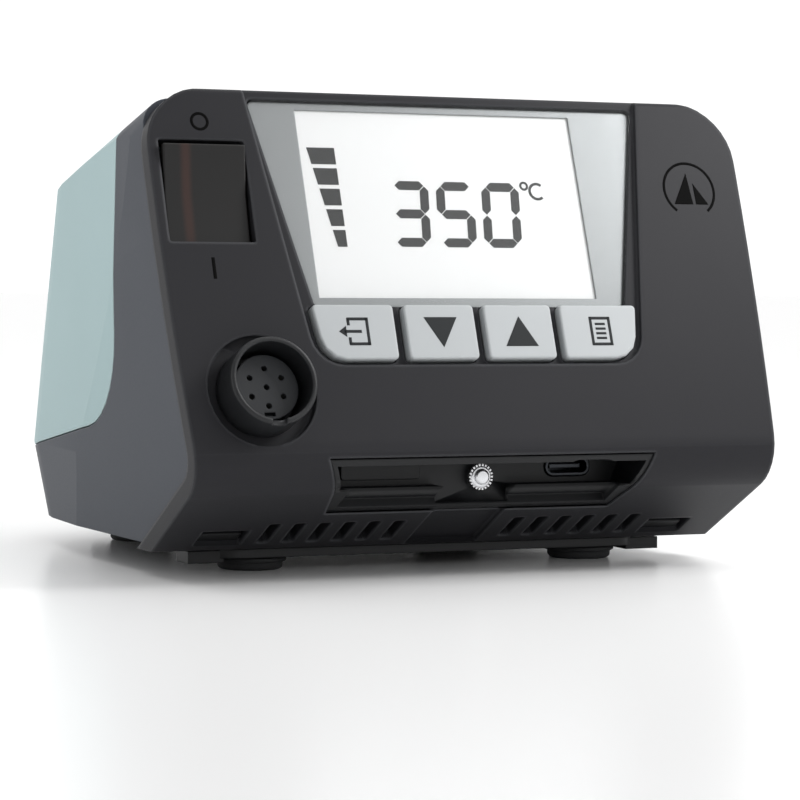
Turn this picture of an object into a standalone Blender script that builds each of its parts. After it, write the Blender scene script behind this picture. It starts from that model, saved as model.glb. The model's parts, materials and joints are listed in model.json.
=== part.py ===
"""Soldering iron station: the powered control unit, as separate pieces with real joints.

Metres, +Z up, the front faces -Y. The origin is on the floor, under the middle of the unit.
"""

import math

import bmesh
import bpy
from mathutils import Matrix, Vector

MM = 0.001
GAP = 0.3 * MM  # between pieces that touch
FAR = 200 * MM  # beyond every piece, for a cut that goes right through

# The whole unit
WIDTH = 137.6 * MM
DEPTH = 149 * MM  # from the tool socket's ring to the connector housing
HEIGHT = 101 * MM

# Side outline of the case. Angles are slopes of its straight sides.
FACE_LEAN = math.radians(20.55)
CHIN_RISE = math.radians(29.3)
TOP_FALL = math.radians(14.5)
REAR_LEAN = math.radians(16)
TUCK_LEAN = math.radians(34)
NOSE_RADIUS = 9 * MM
NOSE_HEIGHT = 26 * MM
TOP_EDGE_RADIUS = 1.5 * MM
REAR_TOP_RADIUS = 14 * MM
CASE_BOTTOM = 5.2 * MM
TUCK_HEIGHT = 23 * MM
REAR_STANDOFF = 8.3 * MM  # from the case's rear corner to the back of the connector housing

# Front and plan outlines of the case
FOOT_HALF_WIDTH_LOSS = 4.2 * MM
WIDEST_BELOW_TOP = 14 * MM
NARROWEST_BELOW_TOP = 111 * MM
SIDE_STEPS = 10
PANEL_CORNER_RADIUS = 14 * MM
SHELL_CORNER_RADIUS = 8 * MM  # of the shells behind the front panel
TUCK_CORNER_RADIUS = 4 * MM
FRONT_HALF_WIDTH_GAIN = 4 * MM  # so that the narrowing sides start behind the rounded corners
REAR_HALF_WIDTH_LOSS = 5 * MM
REAR_CORNER_RADIUS = 27 * MM

# Shells
WALL = 2.5 * MM
FRONT_THICKNESS = 4 * MM
FRONT_PROUD = 1.3 * MM  # how far the front panel stands out from the shells behind it
COVER_SETBACK = 47.8 * MM  # from the nose to the cover's front edge
COVER_CORNER_HEIGHT = 31.7 * MM
COVER_FALL = math.radians(8.2)
COVER_SWEEP_RADIUS = 21 * MM

# Base
PLATE_LOW = 3 * MM
PLATE_HALF_WIDTH = 50 * MM
PLATE_FRONT = 30 * MM  # behind the nose, as for the next three
PLATE_REAR = 117 * MM
FOOT_FRONT = 30.5 * MM + 2 * FRONT_THICKNESS
FOOT_REAR = 108 * MM
FOOT_RADIUS = 7 * MM
FOOT_X = 39.5 * MM
LUG_HALF_WIDTH = 4 * MM
LUG_DEPTH = 7 * MM
SCREW_HEAD_RADIUS = 2.8 * MM
SCREW_SHANK_RADIUS = 1.5 * MM
SCREW_INSET = 12 * MM  # from each foot to the case screw beside it

# Face: across (u) and up (v) from the datum on its centre line
FACE_DATUM = 26.4 * MM
RECESS_DEPTH = 1.2 * MM
RECESS_LOW = 19.3 * MM
RECESS_HALF_LOW = 37.5 * MM
RECESS_HALF_TOP = 46.3 * MM
RECESS_TOP = 79.5 * MM
RECESS_RADIUS = 7 * MM
WINDOW_LOW = 32.6 * MM
WINDOW_TOP = 77.9 * MM
WINDOW_HALF_LOW = 35.8 * MM
WINDOW_HALF_TOP = 45.2 * MM
WINDOW_THICKNESS = 1 * MM
WINDOW_FACE = -0.8 * MM
BEZEL_THICKNESS = 0.4 * MM
LCD_LEFT = -34.4 * MM
LCD_RIGHT = 30 * MM
LCD_LOW = 34.6 * MM
LCD_TOP = 76.4 * MM
LCD_THICKNESS = 1.8 * MM
BACKLIGHT_MARGIN = 1.2 * MM  # it is wider than the display, and lower
BOARD_THICKNESS = 1.6 * MM
DISPLAY_BOARD_HALF = 39 * MM
DISPLAY_BOARD_LOW = 17.5 * MM
DISPLAY_SPACE = 4.2 * MM  # between the panel's back and the display board

# Keys, left to right: name, left and right edge, and how round each lower corner is
KEY_LOW = 20.3 * MM
KEY_TOP = 32.2 * MM
KEY_PROUD = 0.8 * MM
KEY_RADIUS = 0.9 * MM
KEY_FLANGE = 1 * MM
KEYS = (
    ("key_exit", -37.7 * MM, -19.5 * MM, 5.5 * MM, 0.9 * MM),
    ("key_down", -17.1 * MM, -1.1 * MM, 0.9 * MM, 0.9 * MM),
    ("key_up", 1.2 * MM, 17.0 * MM, 0.9 * MM, 0.9 * MM),
    ("key_menu", 19.1 * MM, 37.6 * MM, 0.9 * MM, 5.5 * MM),
)
TACT_SIZE = 6 * MM
TACT_HEIGHT = 1.1 * MM
KEY_TRAVEL = 0.8 * MM
PLUNGER_RADIUS = 1.6 * MM

# Power switch
SWITCH_U = -57 * MM
SWITCH_V = 57 * MM
SWITCH_HALF_WIDTH = 9.4 * MM
SWITCH_HALF_HEIGHT = 11.15 * MM
SWITCH_BODY_HALF_WIDTH = 5.5 * MM
SWITCH_BODY_HALF_HEIGHT = 10 * MM
SWITCH_BODY_SETBACK = 1.4 * MM  # behind the panel, clear of the rocker
SWITCH_BODY_DEPTH = 19 * MM
SWITCH_WALL = 1 * MM
ROCKER_PIVOT = -3.5 * MM
ROCKER_TILT = math.radians(10)
ROCKER_CLEARANCE = 0.7 * MM  # at its top and bottom edges, which swing
ROCKER_SIDE_CLEARANCE = 0.4 * MM

# Tool socket
SOCKET_U = -50.5 * MM
SOCKET_V = 14 * MM
CUP_RADIUS = 11.8 * MM
CUP_DEPTH = 2.5 * MM
RING_RADIUS = 9.3 * MM
RING_BORE = 8.15 * MM
RING_PROUD = 7.2 * MM
RING_CHAMFER = 0.4 * MM
BARREL_RADIUS = 8.2 * MM
BARREL_BORE = 7.15 * MM
BARREL_BACK = -14 * MM
INSERT_FACE = 2.2 * MM
PIN_CIRCLE = 3.96 * MM
PIN_HOLE = 0.65 * MM
PIN_COUNT = 6

# Chin: measured down from the datum on its centre line
CHIN_DATUM = 17.9 * MM
VENT_FIRST = 14 * MM
VENT_PITCH = 5.66 * MM
VENT_COUNT = 6
VENT_WIDTH = 2.6 * MM
VENT_NEAR = 13.6 * MM
VENT_END = 23.2 * MM
POCKET_X = 52.2 * MM
POCKET_HALF_WIDTH = 5.2 * MM
POCKET_NEAR = 16.5 * MM
POCKET_END = 23.6 * MM
POCKET_DEPTH = 2.8 * MM
CHANNEL_HALF_WIDTH = 8.4 * MM
CHANNEL_DEPTH = 1.2 * MM

# Port bay in the chin
BAY_TOP = 25.8 * MM
BAY_LOW = 13.6 * MM
BAY_HALF_TOP = 37.5 * MM
BAY_HALF_LOW = 33 * MM
BAY_WALL = 1.4 * MM
BAY_BACK = 13 * MM  # from the nose to the bay's back wall
BAY_LEDGE = 19 * MM
BAY_LEDGE_DEPTH = 2.4 * MM
STUD_X = 1.6 * MM
STUD_Z = 20.6 * MM
STUD_RADIUS = 2.8 * MM
PORT_X = 23 * MM
PORT_Z = 22.3 * MM
PORT_HALF_WIDTH = 5.2 * MM
PORT_HALF_HEIGHT = 1.9 * MM
BLANK_X = -21 * MM

# Connector housing on the back: across and up the leaning rear face
HOUSING_HALF_WIDTH = 40 * MM
HOUSING_LOW = 4 * MM
HOUSING_TOP = 44 * MM
HOUSING_RADIUS = 4 * MM
HOUSING_INWARD = 6 * MM
INLET_U = -12 * MM
INLET_HALF_WIDTH = 17 * MM
INLET_LOW = 7 * MM
INLET_TOP = 42 * MM
INLET_LIP = 2.5 * MM  # how far its flange reaches past its body
INLET_FLANGE = 1.8 * MM
INLET_BODY_DEPTH = 19 * MM
WELL_HALF_WIDTH = 12.2 * MM
WELL_HALF_HEIGHT = 8.1 * MM
WELL_V = 19.5 * MM
WELL_DEPTH = 14 * MM
BLADE_PITCH = 7 * MM
BLADE_RISE = 2 * MM
BLADE_LENGTH = 12 * MM
DRAWER_HALF_WIDTH = 10.5 * MM
DRAWER_HALF_HEIGHT = 3.4 * MM
DRAWER_V = 34 * MM
DRAWER_DEPTH = 15 * MM
FUSE_RADIUS = 2.5 * MM
FUSE_LENGTH = 18 * MM
BOND_U = 18 * MM
BOND_V = 30 * MM
BOND_RADIUS = 5.5 * MM
REAR_SCREW_U = 34 * MM

# Inside
FLOOR_TOP = CASE_BOTTOM + FRONT_PROUD + WALL
TRANSFORMER_X = 24 * MM
TRANSFORMER_SETBACK = 81.1 * MM  # from the nose to its middle
CORE_HALF_WIDTH = 27 * MM
CORE_HEIGHT = 45 * MM
CORE_HALF_DEPTH = 11 * MM
LIMB = 9 * MM
WINDING_HALF_DEPTH = 19 * MM
BRACKET_THICKNESS = 1.5 * MM
BRACKET_HALF_WIDTH = 34 * MM
MAIN_BOARD_X = -34 * MM
MAIN_BOARD_SETBACK = 73.1 * MM
MAIN_BOARD_HALF_WIDTH = 20 * MM
MAIN_BOARD_HALF_DEPTH = 27 * MM
MAIN_BOARD_HEIGHT = 14 * MM
BOSS_RADIUS = 3 * MM
BOSS_INSET = 4 * MM

# Looks: colour, roughness, metallic
LOOKS = {
    "anthracite_plastic": ((0.045, 0.046, 0.046), 0.55, 0.0),
    "black_plastic": ((0.012, 0.013, 0.014), 0.5, 0.0),
    "teal_plastic": ((0.38, 0.51, 0.53), 0.5, 0.0),
    "silver_plastic": ((0.58, 0.6, 0.61), 0.4, 0.0),
    "clear_plastic": ((0.8, 0.82, 0.82), 0.1, 0.0),
    "lcd_white": ((0.9, 0.9, 0.9), 0.3, 0.0),
    "rubber": ((0.02, 0.02, 0.022), 0.8, 0.0),
    "steel": ((0.55, 0.55, 0.56), 0.3, 1.0),
    "brass": ((0.7, 0.5, 0.22), 0.3, 1.0),
    "copper": ((0.6, 0.25, 0.12), 0.35, 1.0),
    "board_green": ((0.03, 0.16, 0.08), 0.5, 0.0),
    "fuse_glass": ((0.75, 0.8, 0.8), 0.1, 0.0),
}


# ---- Lines and outlines ----


def direction(angle):
    return Vector((math.cos(angle), math.sin(angle)))


def line(angle, through):
    """A straight line through a point, as its outward normal and its offset along that."""
    normal = direction(angle)
    return normal, normal.dot(through)


def moved(edge, inset):
    return edge[0], edge[1] - inset


def meet(first, second):
    """The point where two lines cross."""
    (a, p), (b, q) = first, second
    spread = a.x * b.y - a.y * b.x
    return Vector(((p * b.y - q * a.y) / spread, (q * a.x - p * b.x) / spread))


def rounded(corners, steps=4):
    """The outline through corners of (x, y, radius), with an arc in place of each round corner."""
    points = []
    for i, (x, y, radius) in enumerate(corners):
        here = Vector((x, y))
        if radius <= 0:
            points.append(here)
            continue
        before = (Vector(corners[i - 1][:2]) - here).normalized()
        after = (Vector(corners[(i + 1) % len(corners)][:2]) - here).normalized()
        half = before.angle(after) / 2
        centre = here + (before + after).normalized() * radius / math.sin(half)
        start = here + before * radius / math.tan(half) - centre
        end = here + after * radius / math.tan(half) - centre
        first = math.atan2(start.y, start.x)
        turn = (math.atan2(end.y, end.x) - first + math.pi) % math.tau - math.pi
        points += [centre + radius * direction(first + turn * k / steps) for k in range(steps + 1)]
    return points


def rectangle(left, right, low, top, radius=0.0, steps=3):
    corners = ((left, low), (right, low), (right, top), (left, top))
    return rounded([(x, y, radius) for x, y in corners], steps)


def trapezoid(half_low, half_top, low, top, radius=0.0):
    corners = ((-half_low, low), (half_low, low), (half_top, top), (-half_top, top))
    return rounded([(x, y, radius) for x, y in corners])


def circle(x, y, radius, sides=24):
    return [Vector((x, y)) + radius * direction(math.tau * k / sides) for k in range(sides)]


# ---- Solids ----


def prism(outline, low, high, shear=0.0):
    """A maker of a solid with this outline between two heights. shear moves it up as it rises."""

    def make(bm):
        rings = [
            [bm.verts.new((x, y + shear * height, height)) for x, y in outline]
            for height in (low, high)
        ]
        for ring in rings:
            bm.faces.new(ring)
        for k in range(len(outline)):
            bm.faces.new((rings[0][k - 1], rings[0][k], rings[1][k], rings[1][k - 1]))

    return make


def turned(profile, centre=(0.0, 0.0), sides=32):
    """A maker of a ring or a solid of revolution. The profile is a closed loop of (radius, height)."""

    def make(bm):
        rings = []
        for radius, height in profile:
            if radius == 0:
                rings.append([bm.verts.new((*centre, height))] * sides)
                continue
            ring = circle(*centre, radius, sides)
            rings.append([bm.verts.new((x, y, height)) for x, y in ring])
        for first, second in zip(rings, rings[1:] + rings[:1]):
            for k in range(sides):
                corners = (first[k - 1], first[k], second[k], second[k - 1])
                distinct = list(dict.fromkeys(corners))
                if len(distinct) > 2:
                    bm.faces.new(distinct)

    return make


def cylinder(radius, low, high, centre=(0.0, 0.0), sides=24):
    return prism(circle(*centre, radius, sides), low, high)


def solid(name, place, *makers):
    """An object holding the solids that the makers add, in a frame given by a matrix."""
    bm = bmesh.new()
    for make in makers:
        make(bm)
    bmesh.ops.recalc_face_normals(bm, faces=bm.faces)
    mesh = bpy.data.meshes.new(name)
    bm.to_mesh(mesh)
    bm.free()
    made = bpy.data.objects.new(name, mesh)
    made.matrix_world = place
    bpy.context.scene.collection.objects.link(made)
    return made


def combine(target, operation, tool):
    """Replaces the target's mesh by its Boolean with the tool, and removes the tool."""
    modifier = target.modifiers.new(operation, "BOOLEAN")
    modifier.operation = operation
    modifier.object = tool
    graph = bpy.context.evaluated_depsgraph_get()
    target.data = bpy.data.meshes.new_from_object(target.evaluated_get(graph))
    target.modifiers.clear()
    bpy.data.objects.remove(tool)
    return target


def cut(target, place, *makers):
    return combine(target, "DIFFERENCE", solid("cutter", place, *makers))


def join(target, place, *makers):
    return combine(target, "UNION", solid("addition", place, *makers))


def keep(target, place, *makers):
    return combine(target, "INTERSECT", solid("keeper", place, *makers))


def finish(piece, look):
    """Gives a finished piece its material and its shading."""
    piece.data.materials.clear()
    piece.data.materials.append(bpy.data.materials[look])
    piece.data.shade_smooth()
    piece.data.set_sharp_from_angle(angle=math.radians(30))


def add_looks():
    for name, (colour, roughness, metallic) in LOOKS.items():
        material = bpy.data.materials.new(name)
        material.use_nodes = True
        shader = material.node_tree.nodes["Principled BSDF"]
        shader.inputs["Base Color"].default_value = (*colour, 1.0)
        shader.inputs["Roughness"].default_value = roughness
        shader.inputs["Metallic"].default_value = metallic


# ---- The case's outer form ----


def socket_reach():
    """How far the tool socket's ring stands out in front of the nose."""
    datum = NOSE_RADIUS * (1 - 1 / math.cos(FACE_LEAN)) + math.tan(FACE_LEAN) * (FACE_DATUM - NOSE_HEIGHT)
    lowest = SOCKET_V - RING_RADIUS + RING_CHAMFER
    return math.cos(FACE_LEAN) * RING_PROUD - math.sin(FACE_LEAN) * lowest - datum


NOSE_Y = -DEPTH / 2 + socket_reach()
NOSE_CENTRE = Vector((NOSE_Y + NOSE_RADIUS, NOSE_HEIGHT))
TRANSFORMER_Y = NOSE_Y + TRANSFORMER_SETBACK
MAIN_BOARD_Y = NOSE_Y + MAIN_BOARD_SETBACK
FACE_ANGLE = math.pi - FACE_LEAN
CHIN_ANGLE = -math.pi / 2 - CHIN_RISE
TOP_ANGLE = math.pi / 2 - TOP_FALL
REAR_CORNER = Vector((DEPTH / 2 - REAR_STANDOFF, TUCK_HEIGHT))

FACE_LINE = line(FACE_ANGLE, NOSE_CENTRE + NOSE_RADIUS * direction(FACE_ANGLE))
CHIN_LINE = line(CHIN_ANGLE, NOSE_CENTRE + NOSE_RADIUS * direction(CHIN_ANGLE))
REAR_LINE = line(REAR_LEAN, REAR_CORNER)
TUCK_LINE = line(-TUCK_LEAN, REAR_CORNER)
BOTTOM_LINE = line(-math.pi / 2, Vector((0, CASE_BOTTOM)))


def top_line():
    """The top's line, which touches the arc that rounds the face's upper edge."""
    height = HEIGHT - TOP_EDGE_RADIUS
    normal, offset = moved(FACE_LINE, TOP_EDGE_RADIUS)
    centre = Vector(((offset - normal.y * height) / normal.x, height))
    return line(TOP_ANGLE, centre + TOP_EDGE_RADIUS * direction(TOP_ANGLE))


TOP_LINE = top_line()
TOP_AT_MIDDLE = TOP_LINE[1] / TOP_LINE[0].y


def side_outline(inset):
    """The case's outline seen from the side, as (y, z), moved inwards."""
    corners = (
        (BOTTOM_LINE, TUCK_LINE, TUCK_CORNER_RADIUS),
        (TUCK_LINE, REAR_LINE, TUCK_CORNER_RADIUS),
        (REAR_LINE, TOP_LINE, REAR_TOP_RADIUS),
        (TOP_LINE, FACE_LINE, TOP_EDGE_RADIUS),
        (FACE_LINE, CHIN_LINE, NOSE_RADIUS),
        (CHIN_LINE, BOTTOM_LINE, 0.0),
    )
    front_inset = min(inset, FRONT_THICKNESS - GAP)  # so that a hollow always opens at the front

    def inward(edge):
        return moved(edge, front_inset if edge in (FACE_LINE, CHIN_LINE) else inset)

    outline = [
        (*meet(inward(first), inward(second)), max(radius - inset, 0.0))
        for first, second, radius in corners
    ]
    return rounded(outline, 6)


def front_outline(inset, corner_radius):
    """The case's outline seen from the front, in the middle plane, as (x, z), moved inwards."""
    top = TOP_AT_MIDDLE - inset / TOP_LINE[0].y
    widest = TOP_AT_MIDDLE - WIDEST_BELOW_TOP
    foot = TOP_AT_MIDDLE - NARROWEST_BELOW_TOP
    shoulder = top - 1.2 * corner_radius  # just below where the corner's arc ends

    def side(height, radius=0.0):
        away = (height - widest) / (widest - foot)
        return WIDTH / 2 - inset - FOOT_HALF_WIDTH_LOSS * away**2, height, radius

    right = [side(foot + (shoulder - foot) * k / SIDE_STEPS) for k in range(SIDE_STEPS + 1)]
    right.append(side(top, corner_radius - inset))
    return rounded([*right, *((-x, z, radius) for x, z, radius in reversed(right))], 9)


def plan_outline(inset):
    """The case's outline seen from above, at the height of the rear corner, moved inwards."""
    front = WIDTH / 2 + FRONT_HALF_WIDTH_GAIN - inset
    rear = WIDTH / 2 - REAR_HALF_WIDTH_LOSS - inset
    back = REAR_CORNER.x - inset / math.cos(REAR_LEAN)
    corners = ((-front, -DEPTH, 0.0), (front, -DEPTH, 0.0), (front, -DEPTH / 2, 0.0))
    round_corner = REAR_CORNER_RADIUS - inset
    ends = ((rear, back, round_corner), (-rear, back, round_corner), (-front, -DEPTH / 2, 0.0))
    return rounded([*corners, *ends], 6)


def frame(origin, right, up):
    """A matrix with X to the right, Y up the surface and Z straight out of it."""
    right, up = Vector(right), Vector(up)
    placed = Matrix((right, up, right.cross(up))).transposed().to_4x4()
    placed.translation = origin
    return placed


def on_line(edge, height):
    """The point of a side line at a height, as a position on the centre plane."""
    normal, offset = edge
    return Vector((0, (offset - normal.y * height) / normal.x, height))


GROUND = Matrix.Identity(4)
SIDE = frame((0, 0, 0), (0, 1, 0), (0, 0, 1))
FRONT = frame((0, 0, 0), (1, 0, 0), (0, 0, 1))
FACE_UP = (0, math.sin(FACE_LEAN), math.cos(FACE_LEAN))
FACE = frame(on_line(FACE_LINE, FACE_DATUM), (1, 0, 0), FACE_UP)
CHIN_UP = (0, -math.cos(CHIN_RISE), math.sin(CHIN_RISE))
CHIN = frame(on_line(CHIN_LINE, CHIN_DATUM), (1, 0, 0), CHIN_UP)
REAR_UP = (0, -math.sin(REAR_LEAN), math.cos(REAR_LEAN))
REAR = frame((0, *REAR_CORNER), (-1, 0, 0), REAR_UP)


def bent(outline):
    """A maker of a solid that leans forward above the tuck's height, and tucks in below it."""
    levels = (
        (-HEIGHT, -HEIGHT * math.tan(TUCK_LEAN)),
        (0.0, 0.0),
        (HEIGHT, -HEIGHT * math.tan(REAR_LEAN)),
    )

    def make(bm):
        rings = [[bm.verts.new((x, y + shift, height)) for x, y in outline] for height, shift in levels]
        bm.faces.new(rings[0])
        bm.faces.new(rings[-1])
        for low, high in zip(rings, rings[1:]):
            for k in range(len(outline)):
                bm.faces.new((low[k - 1], low[k], high[k], high[k - 1]))

    return make


def case_form(name, inset, corner_radius=SHELL_CORNER_RADIUS):
    """The solid form of the case, moved inwards on every side."""
    form = solid(name, SIDE, prism(side_outline(inset), -FAR, FAR))
    keep(form, FRONT, prism(front_outline(inset, corner_radius), -DEPTH, DEPTH, math.tan(TOP_FALL)))
    level = Matrix.Translation((0, 0, TUCK_HEIGHT))
    keep(form, level, bent(plan_outline(inset)))
    return form


def behind_front(depth):
    """Everything that lies this far behind the face and the chin, as a side outline."""
    face, chin = moved(FACE_LINE, depth), moved(CHIN_LINE, depth)
    low, high = -DEPTH, 2 * DEPTH
    under = meet(chin, line(-math.pi / 2, Vector((0, low))))
    over = meet(face, line(math.pi / 2, Vector((0, high))))
    far = DEPTH * 2
    corners = (
        (*under, 0.0),
        (far, low, 0.0),
        (far, high, 0.0),
        (*over, 0.0),
        (*meet(face, chin), max(NOSE_RADIUS - depth, 0.0)),
    )
    return rounded(corners, 6)


def cover_region(inset):
    """The part of the side view that the cover takes, moved inwards."""
    corner = Vector((NOSE_Y + COVER_SETBACK, COVER_CORNER_HEIGHT))
    front = moved(line(math.pi, corner), inset)
    lower = moved(line(-math.pi / 2 - COVER_FALL, corner), inset)
    far = line(0, Vector((DEPTH, 0)))
    high = line(math.pi / 2, Vector((0, DEPTH)))
    corners = (
        (*meet(front, lower), COVER_SWEEP_RADIUS - inset),
        (*meet(lower, far), 0.0),
        (*meet(far, high), 0.0),
        (*meet(high, front), 0.0),
    )
    return rounded(corners, 7)


# ---- Shells ----


def front_plate():
    """The panel's face, nose and chin, before anything is cut in it."""
    panel = case_form("front_panel", 0.0, PANEL_CORNER_RADIUS)
    return cut(panel, SIDE, prism(behind_front(FRONT_THICKNESS), -FAR, FAR))


def key_outline(left, right, left_radius, right_radius, grow):
    """A key's outline, with its lower corners as round as the panel's recess asks."""
    low, top = KEY_LOW - grow, KEY_TOP + grow
    slant = (RECESS_HALF_TOP - RECESS_HALF_LOW) / (RECESS_TOP - RECESS_LOW) * (KEY_TOP - KEY_LOW)
    shift_left = slant if left_radius > KEY_RADIUS else 0.0
    shift_right = slant if right_radius > KEY_RADIUS else 0.0
    corners = (
        (left - grow + shift_left, low, left_radius + grow),
        (right + grow - shift_right, low, right_radius + grow),
        (right + grow, top, KEY_RADIUS + grow),
        (left - grow, top, KEY_RADIUS + grow),
    )
    return rounded(corners, 3)


def recess_outline():
    slope = (RECESS_HALF_TOP - RECESS_HALF_LOW) / (RECESS_TOP - RECESS_LOW)
    top = RECESS_TOP + FRONT_THICKNESS
    half = RECESS_HALF_TOP + slope * FRONT_THICKNESS
    corners = (
        (-RECESS_HALF_LOW, RECESS_LOW, RECESS_RADIUS),
        (RECESS_HALF_LOW, RECESS_LOW, RECESS_RADIUS),
        (half, top, 0.0),
        (-half, top, 0.0),
    )
    return rounded(corners, 5)


def window_outline(grow=0.0):
    return trapezoid(
        WINDOW_HALF_LOW + grow, WINDOW_HALF_TOP + grow, WINDOW_LOW - grow, WINDOW_TOP + grow, 1.2 * MM
    )


WINDOW_BACK = WINDOW_FACE - WINDOW_THICKNESS
BEZEL_FACE = WINDOW_BACK - GAP
BEZEL_BACK = BEZEL_FACE - BEZEL_THICKNESS
LCD_FACE = BEZEL_BACK - GAP
LCD_BACK = LCD_FACE - LCD_THICKNESS
PANEL_BACK = -FRONT_THICKNESS
DISPLAY_BOARD_FACE = PANEL_BACK - DISPLAY_SPACE
PLUNGER_TOP = PANEL_BACK - KEY_FLANGE - KEY_TRAVEL - 2 * GAP
SWITCH_BODY_FACE = PANEL_BACK - SWITCH_BODY_SETBACK


def cut_display_openings(panel):
    lcd_hole = rectangle(LCD_LEFT - 2 * GAP, LCD_RIGHT + 2 * GAP, LCD_LOW - 2 * GAP, LCD_TOP + 2 * GAP)
    keys = [key_outline(*edges, GAP) for _, *edges in KEYS]
    cut(panel, FACE, prism(recess_outline(), -RECESS_DEPTH, FAR))
    cut(panel, FACE, prism(window_outline(GAP), BEZEL_BACK - GAP, FAR))
    cut(panel, FACE, prism(lcd_hole, -FAR, FAR / 10), *(prism(key, -FAR, FAR / 10) for key in keys))


def vent_slots():
    """Outlines of the slots on both sides of the chin's channel."""
    slots = []
    for side in (-1, 1):
        for k in range(VENT_COUNT):
            x = side * (VENT_FIRST + k * VENT_PITCH)
            slots.append(
                rectangle(x - VENT_WIDTH / 2, x + VENT_WIDTH / 2, -VENT_END, -VENT_NEAR, 0.6 * MM, 2)
            )
    return slots


def cut_chin(panel):
    cut(panel, CHIN, *(prism(slot, -3 * FRONT_THICKNESS, FRONT_THICKNESS) for slot in vent_slots()))
    pockets = [
        rectangle(x - POCKET_HALF_WIDTH, x + POCKET_HALF_WIDTH, -POCKET_END, -POCKET_NEAR)
        for x in (-POCKET_X, POCKET_X)
    ]
    channel = rectangle(-CHANNEL_HALF_WIDTH, CHANNEL_HALF_WIDTH, -VENT_END - WALL, 0)
    cut(panel, CHIN, *(prism(pocket, -POCKET_DEPTH, FAR / 10) for pocket in pockets))
    cut(panel, CHIN, prism(channel, -CHANNEL_DEPTH, FAR / 10))
    bay = trapezoid(BAY_HALF_LOW, BAY_HALF_TOP, BAY_LOW, BAY_TOP)
    cut(panel, FRONT, prism(bay, DEPTH / 4, DEPTH))


def make_front_panel():
    panel = front_plate()
    cut_display_openings(panel)
    switch = rectangle(
        SWITCH_U - SWITCH_HALF_WIDTH,
        SWITCH_U + SWITCH_HALF_WIDTH,
        SWITCH_V - SWITCH_HALF_HEIGHT,
        SWITCH_V + SWITCH_HALF_HEIGHT,
        0.5 * MM,
    )
    socket_hole = circle(SOCKET_U, SOCKET_V, BARREL_RADIUS + GAP)
    cut(panel, FACE, prism(circle(SOCKET_U, SOCKET_V, CUP_RADIUS, 32), -CUP_DEPTH, FAR / 10))
    cut(panel, FACE, prism(switch, -FAR / 10, FAR / 10), prism(socket_hole, -FAR / 10, FAR / 10))
    cut_chin(panel)
    finish(panel, "anthracite_plastic")


def screw_places():
    return [
        (side * (FOOT_X - SCREW_INSET), NOSE_Y + setback)
        for side in (-1, 1)
        for setback in (FOOT_FRONT, FOOT_REAR)
    ]


def board_corners():
    return [
        (
            MAIN_BOARD_X + a * (MAIN_BOARD_HALF_WIDTH - BOSS_INSET),
            MAIN_BOARD_Y + b * (MAIN_BOARD_HALF_DEPTH - BOSS_INSET),
        )
        for a in (-1, 1)
        for b in (-1, 1)
    ]


def make_lower_case():
    case = case_form("lower_case", FRONT_PROUD)
    keep(case, SIDE, prism(behind_front(FRONT_THICKNESS + GAP), -FAR, FAR))
    display = rectangle(-DISPLAY_BOARD_HALF - GAP, DISPLAY_BOARD_HALF + GAP, LCD_LOW, LCD_TOP + GAP)
    cut(case, FACE, prism(display, DISPLAY_BOARD_FACE - BOARD_THICKNESS - GAP, 0))
    combine(case, "DIFFERENCE", case_form("hollow", FRONT_PROUD + WALL))
    cut(case, SIDE, prism(cover_region(0.0), -FAR, FAR))
    posts = [
        cylinder(BOSS_RADIUS, FLOOR_TOP - WALL / 2, MAIN_BOARD_HEIGHT - GAP, place, 12)
        for place in board_corners()
    ]
    join(case, GROUND, *posts)
    holes = [cylinder(SCREW_SHANK_RADIUS + GAP, 0, FLOOR_TOP * 1.2, place, 12) for place in screw_places()]
    cut(case, GROUND, *holes)
    finish(case, "anthracite_plastic")


def housing_outline(grow=0.0):
    half = HOUSING_HALF_WIDTH + grow
    return rectangle(-half, half, HOUSING_LOW - grow, HOUSING_TOP + grow, HOUSING_RADIUS + grow, 4)


def make_top_cover():
    cover = case_form("top_cover", FRONT_PROUD)
    keep(cover, SIDE, prism(cover_region(GAP), -FAR, FAR))
    combine(cover, "DIFFERENCE", case_form("hollow", FRONT_PROUD + WALL))
    cut(cover, REAR, prism(housing_outline(GAP), -DEPTH / 5, DEPTH / 5))
    finish(cover, "teal_plastic")


# ---- Base ----


def make_base_plate():
    half = PLATE_HALF_WIDTH
    front, rear = NOSE_Y + PLATE_FRONT, NOSE_Y + PLATE_REAR
    outline = rectangle(-half, half, front, rear, 5 * MM)
    plate = solid("base_plate", GROUND, prism(outline, PLATE_LOW, BASE_TOP))
    lug_front = front + 2 * MM
    lugs = [
        rectangle(x - LUG_HALF_WIDTH, x + LUG_HALF_WIDTH, lug_front, lug_front + LUG_DEPTH)
        for x in (-half - LUG_HALF_WIDTH / 2, half + LUG_HALF_WIDTH / 2)
    ]
    lug_low = PLATE_LOW - 1 * MM
    join(plate, GROUND, *(prism(outline, lug_low, BASE_TOP - GAP) for outline in lugs))
    shanks = [cylinder(SCREW_SHANK_RADIUS + GAP, 0, FLOOR_TOP, place, 12) for place in screw_places()]
    heads = [
        cylinder(SCREW_HEAD_RADIUS + GAP, 0, PLATE_LOW + SCREW_HEAD_DEPTH + GAP, place, 16)
        for place in screw_places()
    ]
    cut(plate, GROUND, *shanks)
    cut(plate, GROUND, *heads)
    finish(plate, "black_plastic")


BASE_TOP = CASE_BOTTOM - GAP
SCREW_HEAD_DEPTH = 1.4 * MM
SCREW_TIP = FLOOR_TOP + 1 * MM


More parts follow.
